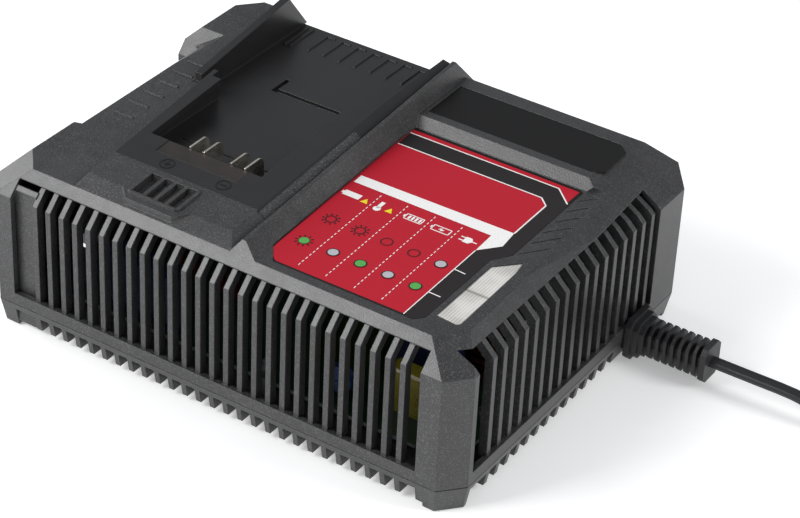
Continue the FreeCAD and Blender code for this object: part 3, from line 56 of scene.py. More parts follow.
CORD_Y = 44.0
LOW_Z, HIGH_Z, PLUG_Z = 2.65, 6.65, 6.95
CORD_FREE = ((138.8, CORD_Y, 10.0), (154.8, CORD_Y, 10.0), (178.8, 44.8, 9.6),
             (198.0, CORD_Y, LOW_Z), (209.52, CORD_Y, LOW_Z))
CORD_LEAD = ((222.48, CORD_Y, HIGH_Z), (236.5, CORD_Y, HIGH_Z),
             (254.5, 43.2, (HIGH_Z + PLUG_Z) / 2),
             (270.5, CORD_Y, PLUG_Z), (284.48, CORD_Y, PLUG_Z))
COIL_X = 216.0
COIL_TURNS = 4
COIL_PITCH = 6.0
COIL_OUTER = 41.0
POINTS_PER_HALF = 8

# The plastic's uneven tone: wide handling marks, small blotches, and the seat's grained strip.
HANDLING_MM = 38.0
BLOTCH_MM = 6.5
COARSE_DEPTH = 9.0
COARSE_ZONE = (-0.6, 8.5)

# The studio: places in metres, powers in watts, the focal length in millimetres.
CAMERA_LENS = 118.17
CAMERA_PLACE = (0.4553, -0.6918, 0.5837)
CAMERA_RIGHT = (0.8338, 0.5502, 0.0425)
CAMERA_FORWARD = (-0.4360, 0.7048, -0.5596)
TABLE_REACH = 3.0
LIT_POINT = (0, 0, 0.03)
RIGHT_POWER, LEFT_POWER = 9.0, 5.0


def linear(code):
    """sRGB hex colour as linear red, green, blue and alpha."""
    parts = [int(code[i:i + 2], 16) / 255 for i in (1, 3, 5)]
    return [c / 12.92 if c <= 0.04045 else ((c + 0.055) / 1.055) ** 2.4 for c in parts] + [1.0]


def add(tree, kind, inputs=None, **attributes):
    """Adds a shader node, sets its attributes and fills or links its inputs."""
    made = tree.nodes.new(kind)
    for key, value in attributes.items():
        setattr(made, key, value)
    for key, value in (inputs or {}).items():
        if isinstance(value, bpy.types.NodeSocket):
            tree.links.new(value, made.inputs[key])
        else:
            made.inputs[key].default_value = value
    return made


def start_material(name):
    """An empty node material with its output node."""
    mat = bpy.data.materials.new(name)
    mat.use_nodes = True
    mat.node_tree.nodes.clear()
    output = add(mat.node_tree, "ShaderNodeOutputMaterial")
    return mat, mat.node_tree, output


def object_point(tree):
    """The point on the unturned object, in metres."""
    return add(tree, "ShaderNodeTexCoord").outputs["Object"]


def ramp(tree, factor, stops):
    """Colour ramp from a factor, with (place, colour) stops."""
    made = add(tree, "ShaderNodeValToRGB", {"Fac": factor})
    elements = made.color_ramp.elements
    elements[0].position, elements[0].color = stops[0]
    elements[1].position, elements[1].color = stops[-1]
    for place, colour in stops[1:-1]:
        extra = elements.new(place)
        extra.color = colour
    return made.outputs["Color"]


def noise(tree, point, size_mm, detail=3.0, roughness=0.55):
    """Noise whose features are about size_mm across."""
    return add(tree, "ShaderNodeTexNoise", {"Vector": point, "Scale": 1000.0 / size_mm,
               "Detail": detail, "Roughness": roughness}).outputs["Fac"]


def spread(tree, value, low, high):
    """A 0 to 1 value spread over low to high."""
    return add(tree, "ShaderNodeMapRange", {"Value": value, "From Min": 0.3, "From Max": 0.7,
               "To Min": low, "To Max": high}).outputs["Result"]


def grained_plastic(name, dark, light, grain_mm, depth_mm, rough, edge_mm=0.45, painted_sparkle=0.0,
                    specular=0.5, cloud_share=1.0, coarse_zone=None):
    """Moulded plastic: spark-eroded grain, faint handling marks and softened moulded edges, plus
    painted sparkle where asked: bright flecks in the colour that stand in for glints off the grain.

    coarse_zone is the corner (x, y) of a coarser grained strip, to its right and in front of it."""
    mat, tree, output = start_material(name)
    point = object_point(tree)
    grain = noise(tree, point, grain_mm, 2.0, 0.5)
    cloud = noise(tree, point, HANDLING_MM, 4.0)
    blotch = noise(tree, point, BLOTCH_MM, 3.0)
    tone = add(tree, "ShaderNodeMath", {0: cloud, 1: blotch}, operation="ADD")
    tone = add(tree, "ShaderNodeMath", {0: tone.outputs[0], 1: 0.5}, operation="MULTIPLY")
    colour = ramp(tree, tone.outputs[0], [(0.35, linear(dark)), (0.65, linear(light))])
    # Painted sparkle: bright flecks added to the colour on the grain's peaks, standing in for
    # glints of light.
    if painted_sparkle > 0:
        painted_sparkle_colour = ramp(tree, grain, [(0.52, [0, 0, 0, 1]), (0.72, [painted_sparkle, painted_sparkle, painted_sparkle, 1])])
        colour = add(tree, "ShaderNodeMix", {"Factor": 1.0, 6: colour, 7: painted_sparkle_colour},
                     data_type="RGBA", blend_type="ADD").outputs[2]
    height = grain
    if coarse_zone is not None:
        place = add(tree, "ShaderNodeSeparateXYZ", {"Vector": point})
        right = add(tree, "ShaderNodeMath", {0: place.outputs["X"], 1: coarse_zone[0] * MM},
                    operation="GREATER_THAN").outputs[0]
        front = add(tree, "ShaderNodeMath", {0: place.outputs["Y"], 1: coarse_zone[1] * MM},
                    operation="LESS_THAN").outputs[0]
        inside = add(tree, "ShaderNodeMath", {0: right, 1: front}, operation="MULTIPLY").outputs[0]
        coarse = ramp(tree, grain, [(0.45, linear(settings().case_light)),
                                    (0.75, linear("#6A6A6A"))])
        colour = add(tree, "ShaderNodeMix", {"Factor": inside, 6: colour, 7: coarse},
                     data_type="RGBA").outputs[2]
        height = add(tree, "ShaderNodeMath", {0: inside, 1: COARSE_DEPTH, 2: 1.0},
                     operation="MULTIPLY_ADD").outputs[0]
        height = add(tree, "ShaderNodeMath", {0: height, 1: grain}, operation="MULTIPLY").outputs[0]
    gloss = add(tree, "ShaderNodeMath", {0: spread(tree, blotch, rough - 0.05 * cloud_share,
                rough + 0.06 * cloud_share),
                1: spread(tree, grain, -0.05, 0.05)}, operation="ADD").outputs[0]
    edge = add(tree, "ShaderNodeBevel", {"Radius": edge_mm * MM}, samples=6)
    bump = add(tree, "ShaderNodeBump", {"Height": height, "Distance": depth_mm * MM,
               "Strength": 1.0, "Normal": edge.outputs["Normal"]})
    shader = add(tree, "ShaderNodeBsdfPrincipled", {"Base Color": colour, "Roughness": gloss,
                 "Specular IOR Level": specular, "Normal": bump.outputs["Normal"]})
    tree.links.new(shader.outputs[0], output.inputs["Surface"])
    return mat


def metal(name, dark, light, rough, line_mm, axis, edge_mm=0.2):
    """Worked metal: fine lines along one axis over a slightly uneven plate or surface."""
    mat, tree, output = start_material(name)
    point = object_point(tree)
    stretch = [1.0, 1.0, 1.0]
    stretch[axis] = 0.06
    lines = add(tree, "ShaderNodeMapping", {"Vector": point, "Scale": stretch}).outputs[0]
    fine = noise(tree, lines, line_mm, 3.0)
    cloud = noise(tree, point, 9.0, 3.0)
    colour = ramp(tree, cloud, [(0.3, linear(dark)), (0.7, linear(light))])
    gloss = add(tree, "ShaderNodeMath", {0: spread(tree, fine, rough - 0.07, rough + 0.07),
                1: spread(tree, cloud, -0.04, 0.05)}, operation="ADD").outputs[0]
    edge = add(tree, "ShaderNodeBevel", {"Radius": edge_mm * MM}, samples=4)
    bump = add(tree, "ShaderNodeBump", {"Height": fine, "Distance": 0.01 * MM,
               "Normal": edge.outputs["Normal"]})
    shader = add(tree, "ShaderNodeBsdfPrincipled", {"Base Color": colour, "Metallic": 1.0,
                 "Roughness": gloss, "Normal": bump.outputs["Normal"]})
    tree.links.new(shader.outputs[0], output.inputs["Surface"])
    return mat


def printed_film(name, dark, light, rough, coat):
    """Screen-printed ink under a clear film, with the film's slight ripple."""
    mat, tree, output = start_material(name)
    point = object_point(tree)
    ink = noise(tree, point, 0.5, 2.0)
    ripple = noise(tree, point, 16.0, 2.0)
    colour = ramp(tree, ink, [(0.3, linear(dark)), (0.7, linear(light))])
    bump = add(tree, "ShaderNodeBump", {"Height": ripple, "Distance": 0.03 * MM})
    shader = add(tree, "ShaderNodeBsdfPrincipled", {"Base Color": colour,
                 "Roughness": spread(tree, ink, rough - 0.04, rough + 0.04),
                 "Specular IOR Level": 0.32, "Coat Weight": coat, "Coat Roughness": 0.16,
                 "Normal": bump.outputs["Normal"]})
    tree.links.new(shader.outputs[0], output.inputs["Surface"])
    return mat


def frosted_lens(name, tint, shade, rib_mm=1.1, divider_y=None):
    """Clear moulding with a satin face: fine ribs on its underside and, if given, a divider."""
    mat, tree, output = start_material(name)
    point = object_point(tree)
    place = add(tree, "ShaderNodeSeparateXYZ", {"Vector": point})
    ribs = add(tree, "ShaderNodeMath", {0: place.outputs["X"], 1: 2 * math.pi / (rib_mm * MM)},
               operation="MULTIPLY")
    ribs = add(tree, "ShaderNodeMath", {0: ribs.outputs[0]}, operation="SINE").outputs[0]
    cloud = noise(tree, point, 14.0, 2.0)
    fine = noise(tree, point, 0.5, 3.0)
    shading = add(tree, "ShaderNodeMath", {0: ribs, 1: 0.12, 2: cloud},
                  operation="MULTIPLY_ADD").outputs[0]
    colour = ramp(tree, shading, [(0.32, linear(shade)), (0.66, linear(tint))])
    if divider_y is not None:
        away = add(tree, "ShaderNodeMath", {0: place.outputs["Y"], 1: divider_y * MM},
                   operation="SUBTRACT").outputs[0]
        away = add(tree, "ShaderNodeMath", {0: away}, operation="ABSOLUTE").outputs[0]
        line = add(tree, "ShaderNodeMapRange", {"Value": away, "From Min": 0.35 * MM,
                   "From Max": 0.9 * MM, "To Min": 0.55, "To Max": 1.0}).outputs["Result"]
        colour = add(tree, "ShaderNodeVectorMath", {0: colour, "Scale": line},
                     operation="SCALE").outputs[0]
    bump = add(tree, "ShaderNodeBump", {"Height": fine, "Distance": 0.03 * MM,
               "Normal": add(tree, "ShaderNodeBevel", {"Radius": 0.4 * MM}, samples=4).outputs[0]})
    shader = add(tree, "ShaderNodeBsdfPrincipled", {"Base Color": colour,
                 "Roughness": spread(tree, cloud, 0.2, 0.34), "Transmission Weight": 0.12,
                 "Normal": bump.outputs["Normal"]})
    tree.links.new(shader.outputs[0], output.inputs["Surface"])
    return mat


def circuit_board(name, dark, light):
    """Solder-masked laminate: raised copper tracks under the lacquer and bright pads."""
    mat, tree, output = start_material(name)
    point = object_point(tree)
    tracks = add(tree, "ShaderNodeTexBrick", {"Vector": point, "Scale": 260.0, "Mortar Size": 0.03,
                 "Color1": [1, 1, 1, 1], "Color2": [0.4, 0.4, 0.4, 1], "Mortar": [0, 0, 0, 1]})
    cloud = noise(tree, point, 12.0, 3.0)
    mixed = add(tree, "ShaderNodeMath", {0: tracks.outputs["Color"], 1: cloud},
                operation="MULTIPLY")
    colour = ramp(tree, mixed.outputs[0], [(0.1, linear(dark)), (0.6, linear(light))])
    bump = add(tree, "ShaderNodeBump", {"Height": tracks.outputs["Color"], "Distance": 0.03 * MM})
    shader = add(tree, "ShaderNodeBsdfPrincipled", {"Base Color": colour,
                 "Roughness": spread(tree, cloud, 0.28, 0.42), "Normal": bump.outputs["Normal"]})
    tree.links.new(shader.outputs[0], output.inputs["Surface"])
    return mat


def wound(name, dark, light, pitch_mm, metallic, rough):
    """Turns of wire or tape laid side by side round a part."""
    mat, tree, output = start_material(name)
    point = object_point(tree)
    turns = add(tree, "ShaderNodeTexWave", {"Vector": point, "Distortion": 0.3, "Detail": 1.0,
                "Scale": 1000.0 / pitch_mm / 20.0 * 6.28}, bands_direction="Z")
    cloud = noise(tree, point, 5.0, 3.0)
    colour = ramp(tree, turns.outputs["Fac"], [(0.1, linear(dark)), (0.7, linear(light))])
    bump = add(tree, "ShaderNodeBump", {"Height": turns.outputs["Fac"], "Distance": 0.2 * MM})
    shader = add(tree, "ShaderNodeBsdfPrincipled", {"Base Color": colour, "Metallic": metallic,
                 "Roughness": spread(tree, cloud, rough - 0.05, rough + 0.08),
                 "Normal": bump.outputs["Normal"]})
    tree.links.new(shader.outputs[0], output.inputs["Surface"])
    return mat


def paint(nodes, mat):
    """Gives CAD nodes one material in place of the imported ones."""
    for name in nodes:
        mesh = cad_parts[name].data
        mesh.materials.clear()
        mesh.materials.append(mat)


class ChargerSettings(bpy.types.PropertyGroup):
    cord_width: bpy.props.FloatProperty(name="Cord width", default=5.4 * MM, unit="LENGTH",
                                        description="Width of the flat two-core cord")
    cord_thickness: bpy.props.FloatProperty(name="Cord thickness", default=3.4 * MM, unit="LENGTH",
                                            description="Thickness of the flat cord")
    cord_groove: bpy.props.FloatProperty(name="Cord groove", default=0.45 * MM, unit="LENGTH",
                                         description="Depth of the groove between the two cores")
    case_dark: bpy.props.StringProperty(name="Case colour", default="#272728",
                                        description="Darker tone of the grained case plastic")
    case_light: bpy.props.StringProperty(name="Case light colour", default="#333334",
                                         description="Lighter tone of the grained case plastic")
    label_red: bpy.props.StringProperty(name="Label red", default="#AE0E24",
                                        description="Field colour of the label")
    print_height: bpy.props.FloatProperty(name="Print height", default=0.03 * MM, unit="LENGTH",
                                          description="Height of each printed layer")
    key_power: bpy.props.FloatProperty(name="Key light", default=16.5,
                                       description="Power of the front softbox in watts")


def settings():
    return bpy.context.scene.charger_settings


class CHARGER_OT_case(bpy.types.Operator):
    """Grained plastic of the two case halves and the smoother battery cradle"""
    bl_idname = "charger.case"
    bl_label = "Case and cradle"

    def execute(self, context):
        s = settings()
        # Injection-moulded ABS with a spark-eroded texture.
        # The case gets painted sparkle: bright flecks in its colour that stand in for glints off
        # the grain.
        case = grained_plastic("case_abs_spark_texture", s.case_dark, s.case_light, 0.5, 0.07,
                               0.38, painted_sparkle=0.07, specular=0.6, cloud_share=0.5)
        # Same resin from a polished tool, as on the battery rails.
        dock = grained_plastic("dock_abs_satin", "#1E1E1F", "#222223", 0.5, 0.006, 0.34,
                               cloud_share=0.25, coarse_zone=COARSE_ZONE)
        # Glass-filled nylon of the contact carrier, slightly brown.
        block = grained_plastic("terminal_nylon", "#211C1A", "#2C2624", 0.5, 0.02, 0.45)
        paint(["upper_housing", "lower_housing"], case)
        paint(["battery_cradle"], dock)
        paint(["terminal_block"], block)
        paint(["fan_frame", "fan_rotor"], grained_plastic(
            "fan_pbt_moulded", "#1B1B1C", "#242425", 0.6, 0.01, 0.4))
        return {"FINISHED"}


class CHARGER_OT_metalwork(bpy.types.Operator):
    """Contact blades, screws, port shell, pins and heat sinks"""
    bl_idname = "charger.metalwork"
    bl_label = "Metal parts"

    def execute(self, context):
        # Nickel plate over stamped brass.
        nickel = metal("nickel_plated_brass", "#C9C3B6", "#EFEBE2", 0.3, 0.25, 1)
        # Zinc-plated screw steel.
        zinc = metal("zinc_plated_steel", "#8F9093", "#B9BABD", 0.35, 0.2, 2)
        # Extruded aluminium with die lines along the section.
        extruded = metal("extruded_aluminium", "#9A9C9F", "#C4C6C9", 0.4, 0.3, 0)
        paint(["contact_blade_positive", "contact_blade_cell_sense", "contact_blade_thermistor",
               "contact_blade_negative", "port_socket", "plug_pins"], nickel)
        paint(["case_screws", "board_screws"], zinc)
        paint(["primary_heat_sink", "secondary_heat_sink"], extruded)
        return {"FINISHED"}


class CHARGER_OT_electronics(bpy.types.Operator):
    """Boards and the parts that show through the grilles"""
    bl_idname = "charger.electronics"
    bl_label = "Electronics"

    def execute(self, context):
        paint(["main_board", "port_board", "indicator_board"],
              circuit_board("solder_masked_laminate", "#06180B", "#0D2C15"))
        # Sintered ferrite, ground on its faces.
        paint(["transformer_core"], grained_plastic("sintered_ferrite", "#1C1C1E", "#262629",
                                                    0.3, 0.02, 0.5, 0.2))
        # Yellow polyester tape over the winding.
        paint(["transformer_winding"], wound("winding_tape", "#5E4710", "#84691C", 6.0, 0.0, 0.3))
        # Enamelled copper turns.
        paint(["common_mode_choke"], wound("enamelled_copper", "#30120A", "#5E2D17",
                                           0.9, 0.8, 0.35))
        # Shrink sleeve on the capacitor cans.
        paint(["bulk_capacitor", "output_capacitors"], printed_film("capacitor_sleeve", "#0E1428",
                                                                    "#151E3A", 0.34, 0.1))
        # Epoxy mould compound.
        paint(["power_transistors", "bridge_rectifier"], grained_plastic(
            "epoxy_mould_compound", "#18181A", "#232326", 0.3, 0.02, 0.5, 0.2))
        # Boxed film capacitor.
        paint(["film_capacitor"], grained_plastic("film_capacitor_box", "#5A5310", "#716A1B",
                                                  0.8, 0.01, 0.3))
        # Dipped epoxy coating.
        paint(["varistor"], grained_plastic("dipped_epoxy", "#0D2347", "#153059", 1.6, 0.05, 0.25))
        paint(["mains_fuse"], frosted_lens("fuse_glass", "#E8E8E4", "#B9B9B2"))
        paint(["indicator_leds"], frosted_lens("led_epoxy", "#F1F3EA", "#C8CDBE"))
        # Extruded wire insulation.
        paint(["battery_leads", "mains_leads"], grained_plastic(
            "wire_insulation", "#3E0B0B", "#561212", 0.9, 0.01, 0.35))
        return {"FINISHED"}


def label_height(y):
    """Height of the label's face, which rises to the back."""
    return LABEL_Z + math.tan(math.radians(LABEL_RISE)) * (y - LABEL_FRONT_Y) - LABEL_RECESS


def deck_height(y):
    """Height of the battery deck, which rises to the back."""
    return DECK_Z + math.tan(math.radians(DECK_RISE)) * (y - DECK_FRONT_Y)


def disc(x, y, radius, count=28):
    """Outline of a filled circle."""
    return [(x + radius * math.cos(a), y + radius * math.sin(a))
            for a in np.linspace(0, 2 * math.pi, count, endpoint=False)]


def strip(points, width):
    """Quads of a line of constant width through the points."""
    quads = []
    for (x0, y0), (x1, y1) in zip(points, points[1:]):
        length = math.hypot(x1 - x0, y1 - y0)
        nx, ny = -(y1 - y0) / length * width / 2, (x1 - x0) / length * width / 2
        quads.append([(x0 - nx, y0 - ny), (x1 - nx, y1 - ny),
                      (x1 + nx, y1 + ny), (x0 + nx, y0 + ny)])
    return quads


def ring(x, y, radius, width, count=28):
    """Quads of a circle drawn as a line."""
    outer, inner = disc(x, y, radius + width / 2, count), disc(x, y, radius - width / 2, count)
    return [[inner[i], inner[(i + 1) % count], outer[(i + 1) % count], outer[i]]
            for i in range(count)]


def counter_clockwise(points):
    """The outline, turned over if it runs clockwise, so that its face looks up."""
    area = sum(x0 * y1 - x1 * y0 for (x0, y0), (x1, y1) in zip(points, points[1:] + points[:1]))
    return points if area > 0 else points[::-1]


def print_mesh(name, layers, height_at, step):
    """Flat printed shapes: each layer is (material, list of outlines), laid over the one before."""
    vertices, faces, numbers = [], [], []
    for level, (number, outlines) in enumerate(layers, 1):
        for outline in outlines:
            outline = counter_clockwise(list(outline))
            first = len(vertices)
            vertices += [(x * MM, y * MM, height_at(y) * MM + level * step) for x, y in outline]
            faces.append(range(first, first + len(outline)))
            numbers.append(number)
    mesh = bpy.data.meshes.new(name)
    mesh.from_pydata(vertices, [], faces)
    mesh.polygons.foreach_set("material_index", numbers)
    mesh.update()
    made = bpy.data.objects.new(name, mesh)
    bpy.context.scene.collection.objects.link(made)
    return made


def sun_mark(x, y):
    """A ring with short rays, for a flashing lamp."""
    marks = ring(x, y, 2.0, 0.45)
    for i in range(10):
        a = math.radians(36 * i + 9)
        marks += strip([(x + 2.6 * math.cos(a), y + 2.6 * math.sin(a)),
                        (x + 3.5 * math.cos(a), y + 3.5 * math.sin(a))], 0.6)
    return marks


def battery_mark(x, y, filled):
    """Small battery pictogram, filled or drawn as a line."""
    body = [(x - 3.6, y - 1.6), (x + 3.6, y - 1.6), (x + 3.6, y + 1.6), (x - 3.6, y + 1.6)]
    tip = [(x - 4.4, y - 0.7), (x - 3.6, y - 0.7), (x - 3.6, y + 0.7), (x - 4.4, y + 0.7)]
    if filled:
        return [body, tip]
    return strip(body + body[:1], 0.45) + [tip]


def label_layers():
    """The legend's shapes on the label's plan: field, bands, lamps and pictograms."""
    columns = [19.6, 32.1, 43.7, 55.3, 66.7]
    red = [[(9.9, 32.4), (12.9, -61.0), (13.9, -65.0), (18.6, -68.5), (72.2, -68.3), (72.0, -22.0),
            (78.2, -14.2), (82.6, 0.0), (83.0, 32.4)]]
    band = [[(10.7, 29.8), (75.6, 30.0), (82.9, 23.2), (84.2, 22.0), (84.2, -16.9),
             (79.5, -24.6), (79.5, -65.8), (76.3, -69.2), (72.3, -69.2), (72.0, -22.2),
             (78.4, -14.2), (77.6, -4.6), (77.6, 17.3), (73.6, 21.0), (11.0, 20.8)]]
    white = [[(12.3, -5.6), (77.6, -4.7), (78.5, -14.1), (72.0, -21.8), (71.6, -10.7),
              (12.4, -10.7)]]
    white += strip([(10.6, 29.8), (75.6, 30.0), (83.4, 22.8)], 0.55)
    white += strip([(11.0, 20.8), (73.6, 21.0), (77.6, 17.3), (77.6, -4.7)], 0.55)
    white += strip([(72.0, -21.8), (72.3, -68.6)], 0.4)
    white += strip([(72.0, -36.0), (76.8, -36.3)], 0.5) + strip([(72.4, -52.8), (77.2, -52.9)], 0.5)
    for x0, x1 in ((25.7, 26.6), (37.3, 38.2), (49.1, 50.1), (60.6, 61.6)):
        for i in range(24):
            t0, t1 = i / 24, (i + 0.55) / 24
            white += strip([(x0 + (x1 - x0) * t0, -12.4 - 54.6 * t0),
                            (x0 + (x1 - x0) * t1, -12.4 - 54.6 * t1)], 0.34)
    white += battery_mark(16.8, -18.2, True)
    bulb = [disc(29.0, -20.4, 1.5), [(28.2, -20.0), (29.8, -20.0), (29.8, -15.6), (28.2, -15.6)]]
    white += bulb + battery_mark(43.6, -18.1, False)
    for i in range(4):
        white.append([(41.2 + 1.5 * i, -19.2), (42.1 + 1.5 * i, -19.2), (42.1 + 1.5 * i, -17.0),
                      (41.2 + 1.5 * i, -17.0)])
    white += battery_mark(55.3, -18.2, False)
    white.append([(54.0, -18.4), (55.5, -16.9), (55.3, -17.9), (56.6, -17.9), (55.1, -19.5),
                  (55.3, -18.4)])
    plug = [(65.0, -20.0), (67.4, -20.0), (68.6, -18.2), (67.4, -16.4), (65.0, -16.4)]
    white += [plug] + strip([(68.4, -18.2), (70.2, -18.2)], 0.6)
    white += strip([(63.2, -19.2), (65.2, -19.2)], 0.6) + strip([(63.2, -17.2), (65.2, -17.2)], 0.6)
    yellow = [[(21.4, -20.3), (24.6, -20.3), (23.0, -17.3)],
              [(32.0, -20.3), (35.2, -20.3), (33.6, -17.3)]]
    dark = sun_mark(columns[0], -52.6) + sun_mark(columns[0], -35.8) + sun_mark(columns[1], -35.7)
    for x in columns[1:]:
        dark += ring(x, -52.6, 2.2, 0.5)
    dark += ring(columns[2], -35.9, 2.2, 0.4) + ring(columns[3], -36.1, 2.2, 0.4)
    dark += ring(columns[4], -36.3, 2.2, 0.5)
    green = [disc(columns[i], -52.6, 1.95) for i in (0, 2, 4)]
    grey = [disc(columns[1], -52.6, 1.95), disc(columns[3], -52.6, 1.95),
            disc(columns[4], -36.3, 1.95)]
    return [(0, red), (1, band), (2, white), (3, yellow), (1, dark), (4, green), (5, grey)]


class CHARGER_OT_label(bpy.types.Operator):
    """Label film with its printed legend, the bare badge plate and the status lens"""
    bl_idname = "charger.label"
    bl_label = "Label, badge and lens"

    def execute(self, context):
        s = settings()
        # Black polyester film behind the printed field.
        paint(["label_membrane"], printed_film("label_film_black", "#0E0D0E", "#151315",
                                               0.42, 0.06))
        # Gloss black badge film, left bare.
        paint(["badge_plate"], printed_film("badge_film_black", "#030303", "#070607", 0.36, 0.0))
        # Clear polycarbonate with a satin face.
        paint(["status_lens"], frosted_lens("lens_polycarbonate", "#E6E4E0", "#B9B7B2",
                                            divider_y=LENS_DIVIDER_Y))
        legend = print_mesh("label_print", label_layers(), label_height, s.print_height)
        inks = [("ink_red", s.label_red, "#B81129"), ("ink_black", "#1A1718", "#231F20"),
                ("ink_white", "#E4E4E2", "#F4F4F2"), ("ink_yellow", "#E0C81E", "#F0DC34"),
                ("ink_green", "#4E9A4A", "#5CAB56"), ("ink_grey", "#A9AAAE", "#B9BABE")]
        for name, dark, light in inks:
            legend.data.materials.append(printed_film(name, dark, light, 0.42, 0.06))
        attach(legend, "charger")
        marks = []
        for x, y, positive in POLARITY_MARKS:
            marks += ring(x, y, 2.7, 0.55) + strip([(x - 1.5, y), (x + 1.5, y)], 0.7)
            if positive:
                marks += strip([(x, y - 1.5), (x, y + 1.5)], 0.7)
        polarity = print_mesh("polarity_marks", [(0, marks)], deck_height, 0.15 * MM)
        # The same resin, in the shade of the raised marks' steep sides.
        polarity.data.materials.append(grained_plastic("dock_abs_mark", "#0B0B0B", "#101010",
                                                       0.5, 0.006, 0.4))
        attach(polarity, "charger")
        return {"FINISHED"}


def half_turn_points(x, y, z, radius, sign, rise):
    """Control points of a half circle from (x, y): its chords' middles lie on the circle."""
    centre = y + sign * radius
    step = math.pi / POINTS_PER_HALF
    reach = radius / math.cos(step / 2)
    found = []
    for i in range(POINTS_PER_HALF):
        a = step * (i + 0.5)
        found.append((x + sign * reach * math.sin(a), centre - sign * reach * math.cos(a),
                      z + rise * (1 - math.cos(a)) / 2))
    return found, y + sign * 2 * radius


def cord_points():
    """The whole cord from strain relief to plug: free stretch, two wound layers, plug lead."""
    points = list(CORD_FREE)
    y, sign, radius = CORD_Y, 1, COIL_OUTER
    for _ in range(2 * COIL_TURNS):
        found, y = half_turn_points(COIL_X, y, LOW_Z, radius, sign, 0.0)
        points += found
        radius -= COIL_PITCH / 2
        sign = -sign
    found, y = half_turn_points(COIL_X, y, LOW_Z, radius, sign, HIGH_Z - LOW_Z)
    points += found
    sign = -sign
    for _ in range(2 * COIL_TURNS - 1):
        radius += COIL_PITCH / 2
        found, y = half_turn_points(COIL_X, y, HIGH_Z, radius, sign, 0.0)
        points += found
        sign = -sign
    return points + list(CORD_LEAD)


def flat_profile(name, width, thickness, groove):
    """Outline of a two-core flat cord: two round cores side by side with a groove between."""
    half = thickness / 2
    offset = width / 2 - half
    points = []
    for a in np.linspace(-math.pi / 2, math.pi / 2, 11):
        points.append((offset + half * math.cos(a), half * math.sin(a)))
    points.append((0.0, half - groove))
    for a in np.linspace(math.pi / 2, 3 * math.pi / 2, 11):
        points.append((-offset + half * math.cos(a), half * math.sin(a)))
    points.append((0.0, -half + groove))
    data = bpy.data.curves.new(name, "CURVE")
    data.dimensions = "2D"
    line = data.splines.new("POLY")
    line.points.add(len(points) - 1)
    for point, (x, y) in zip(line.points, points):
        point.co = (x, y, 0.0, 1.0)
    line.use_cyclic_u = True
    made = bpy.data.objects.new(name, data)
    bpy.context.scene.collection.objects.link(made)
    made.hide_render = True
    made.hide_viewport = True
    return made


class CHARGER_OT_cord(bpy.types.Operator):
    """Flat mains cord with its coil, strain relief, tie and plug"""
    bl_idname = "charger.cord"
    bl_label = "Cord and plug"

    def execute(self, context):
        s = settings()
        points = cord_points()
        data = bpy.data.curves.new("mains_cord_line", "CURVE")
        data.dimensions = "3D"
        data.twist_mode = "Z_UP"
        data.resolution_u = 4
        data.render_resolution_u = 4
        line = data.splines.new("NURBS")
        line.points.add(len(points) - 1)
        for point, (x, y, z) in zip(line.points, points):
            point.co = (x * MM, y * MM, z * MM, 1.0)
        line.order_u = 3
        line.use_endpoint_u = True
        data.bevel_mode = "OBJECT"
        data.bevel_object = flat_profile("cord_profile", s.cord_width, s.cord_thickness,
                                         s.cord_groove)
        data.use_fill_caps = True
        cord = bpy.data.objects.new("mains_cord_line", data)
        bpy.context.scene.collection.objects.link(cord)
        # Flexible PVC sheath, extruded.
        sheath = grained_plastic("pvc_sheath", "#1E1E1F", "#28282A", 0.9, 0.006, 0.42, 0.2)
        data.materials.append(sheath)
        # Soft PVC over-moulding.
        moulded = grained_plastic("pvc_overmoulding", "#1F1F20", "#2A2A2C", 0.5, 0.02, 0.46, 0.4)
        paint(["strain_relief", "plug_body"], moulded)
        # Woven hook-and-loop strap.
        paint(["coil_tie"], wound("woven_strap", "#141414", "#242424", 0.8, 0.0, 0.7))
        # Nitrile rubber feet.
        paint(["rubber_feet"], grained_plastic("nitrile_rubber", "#191919", "#222222",
                                               0.5, 0.02, 0.6))
        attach(cord, "charger")
        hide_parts("mains_cord", "cord_coil", "plug_lead")
        return {"FINISHED"}


def area_light(name, place, size, power):
    """A square white softbox that looks at the case."""
    data = bpy.data.lights.new(name, "AREA")
    data.shape = "RECTANGLE"
    data.size = size
    data.size_y = size
    data.energy = power
    lamp = bpy.data.objects.new(name, data)
    lamp.location = place
    lamp.rotation_euler = (Vector(LIT_POINT) - Vector(place)).to_track_quat("-Z", "Y").to_euler()
    bpy.context.scene.collection.objects.link(lamp)


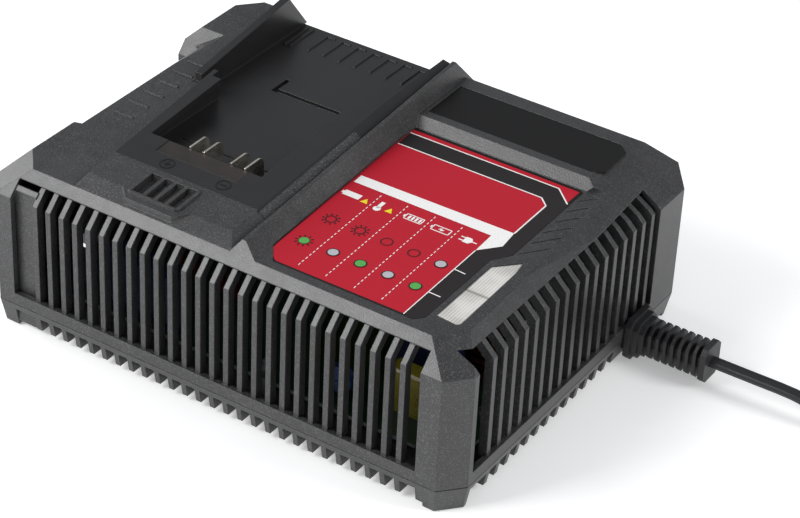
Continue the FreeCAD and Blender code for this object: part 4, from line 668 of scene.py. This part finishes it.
class CHARGER_OT_studio(bpy.types.Operator):
    """White table, pale backdrop, soft lights and the camera"""
    bl_idname = "charger.studio"
    bl_label = "Studio"

    def execute(self, context):
        scene = context.scene
        mesh = bpy.data.meshes.new("table_top")
        mesh.from_pydata([(x * TABLE_REACH, y * TABLE_REACH, 0)
                          for x, y in ((-1, -1), (1, -1), (1, 1), (-1, 1))], [], [(0, 1, 2, 3)])
        floor = bpy.data.objects.new("table_top", mesh)
        scene.collection.objects.link(floor)
        # Matt white table paper, lit from below.
        mat, tree, output = start_material("backlit_table_paper")
        tone = noise(tree, object_point(tree), 45.0, 2.0)
        shader = add(tree, "ShaderNodeBsdfPrincipled", {"Base Color": ramp(tree, tone,
                     [(0.2, linear("#F4F4F4")), (0.8, linear("#FAFAFA"))]), "Roughness": 0.9,
                     "Specular IOR Level": 0.1, "Emission Color": [1, 1, 1, 1],
                     "Emission Strength": 0.3})
        tree.links.new(shader.outputs[0], output.inputs["Surface"])
        mesh.materials.append(mat)

        world = bpy.data.worlds.new("pale_studio")
        scene.world = world
        world.use_nodes = True
        tree = world.node_tree
        tree.nodes.clear()
        path = add(tree, "ShaderNodeLightPath")
        seen = add(tree, "ShaderNodeMath", {0: path.outputs["Is Camera Ray"],
                   1: path.outputs["Is Transmission Ray"]}, operation="MAXIMUM")
        dim = add(tree, "ShaderNodeBackground", {"Color": linear("#F4F6FA"), "Strength": 0.4})
        pale = add(tree, "ShaderNodeBackground", {"Color": [1, 1, 1, 1], "Strength": 1.0})
        mixed = add(tree, "ShaderNodeMixShader", {0: seen.outputs[0], 1: dim.outputs[0],
                    2: pale.outputs[0]})
        out = add(tree, "ShaderNodeOutputWorld")
        tree.links.new(mixed.outputs[0], out.inputs["Surface"])

        area_light("softbox_front", (-0.70, -0.95, 0.95), 0.7, settings().key_power)
        area_light("softbox_right", (1.25, 0.35, 0.85), 0.5, RIGHT_POWER)
        area_light("softbox_left", (-1.30, 0.10, 0.45), 0.5, LEFT_POWER)

        data = bpy.data.cameras.new("photo_camera")
        data.sensor_fit = "HORIZONTAL"
        data.sensor_width = 36.0
        data.lens = CAMERA_LENS
        camera = bpy.data.objects.new("photo_camera", data)
        right = Vector(CAMERA_RIGHT)
        forward = Vector(CAMERA_FORWARD).normalized()
        right = (right - forward * right.dot(forward)).normalized()
        up = right.cross(forward)
        turn = Matrix((right, up, -forward)).transposed()
        camera.matrix_world = Matrix.Translation(CAMERA_PLACE) @ turn.to_4x4()
        scene.collection.objects.link(camera)
        scene.camera = camera
        scene.view_settings.view_transform = "Standard"
        scene.view_settings.look = "None"
        return {"FINISHED"}


class CHARGER_PT_panel(bpy.types.Panel):
    """Sidebar panel with the charger's settings and steps"""
    bl_idname = "CHARGER_PT_panel"
    bl_label = "Battery charger"
    bl_space_type = "VIEW_3D"
    bl_region_type = "UI"
    bl_category = "Charger"

    def draw(self, context):
        for key in ("cord_width", "cord_thickness", "cord_groove", "case_dark", "case_light",
                    "label_red", "print_height", "key_power"):
            self.layout.prop(context.scene.charger_settings, key)
        for step in STEPS:
            self.layout.operator("charger." + step)


STEPS = ("case", "metalwork", "electronics", "label", "cord", "studio")
CLASSES = (ChargerSettings, CHARGER_OT_case, CHARGER_OT_metalwork, CHARGER_OT_electronics,
           CHARGER_OT_label, CHARGER_OT_cord, CHARGER_OT_studio, CHARGER_PT_panel)


def register():
    for cls in CLASSES:
        bpy.utils.register_class(cls)
    bpy.types.Scene.charger_settings = bpy.props.PointerProperty(type=ChargerSettings)


def unregister():
    del bpy.types.Scene.charger_settings
    for cls in reversed(CLASSES):
        bpy.utils.unregister_class(cls)


def main():
    register()
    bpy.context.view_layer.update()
    for step in STEPS:
        getattr(bpy.ops.charger, step)()


if __name__ == "__main__":
    main()
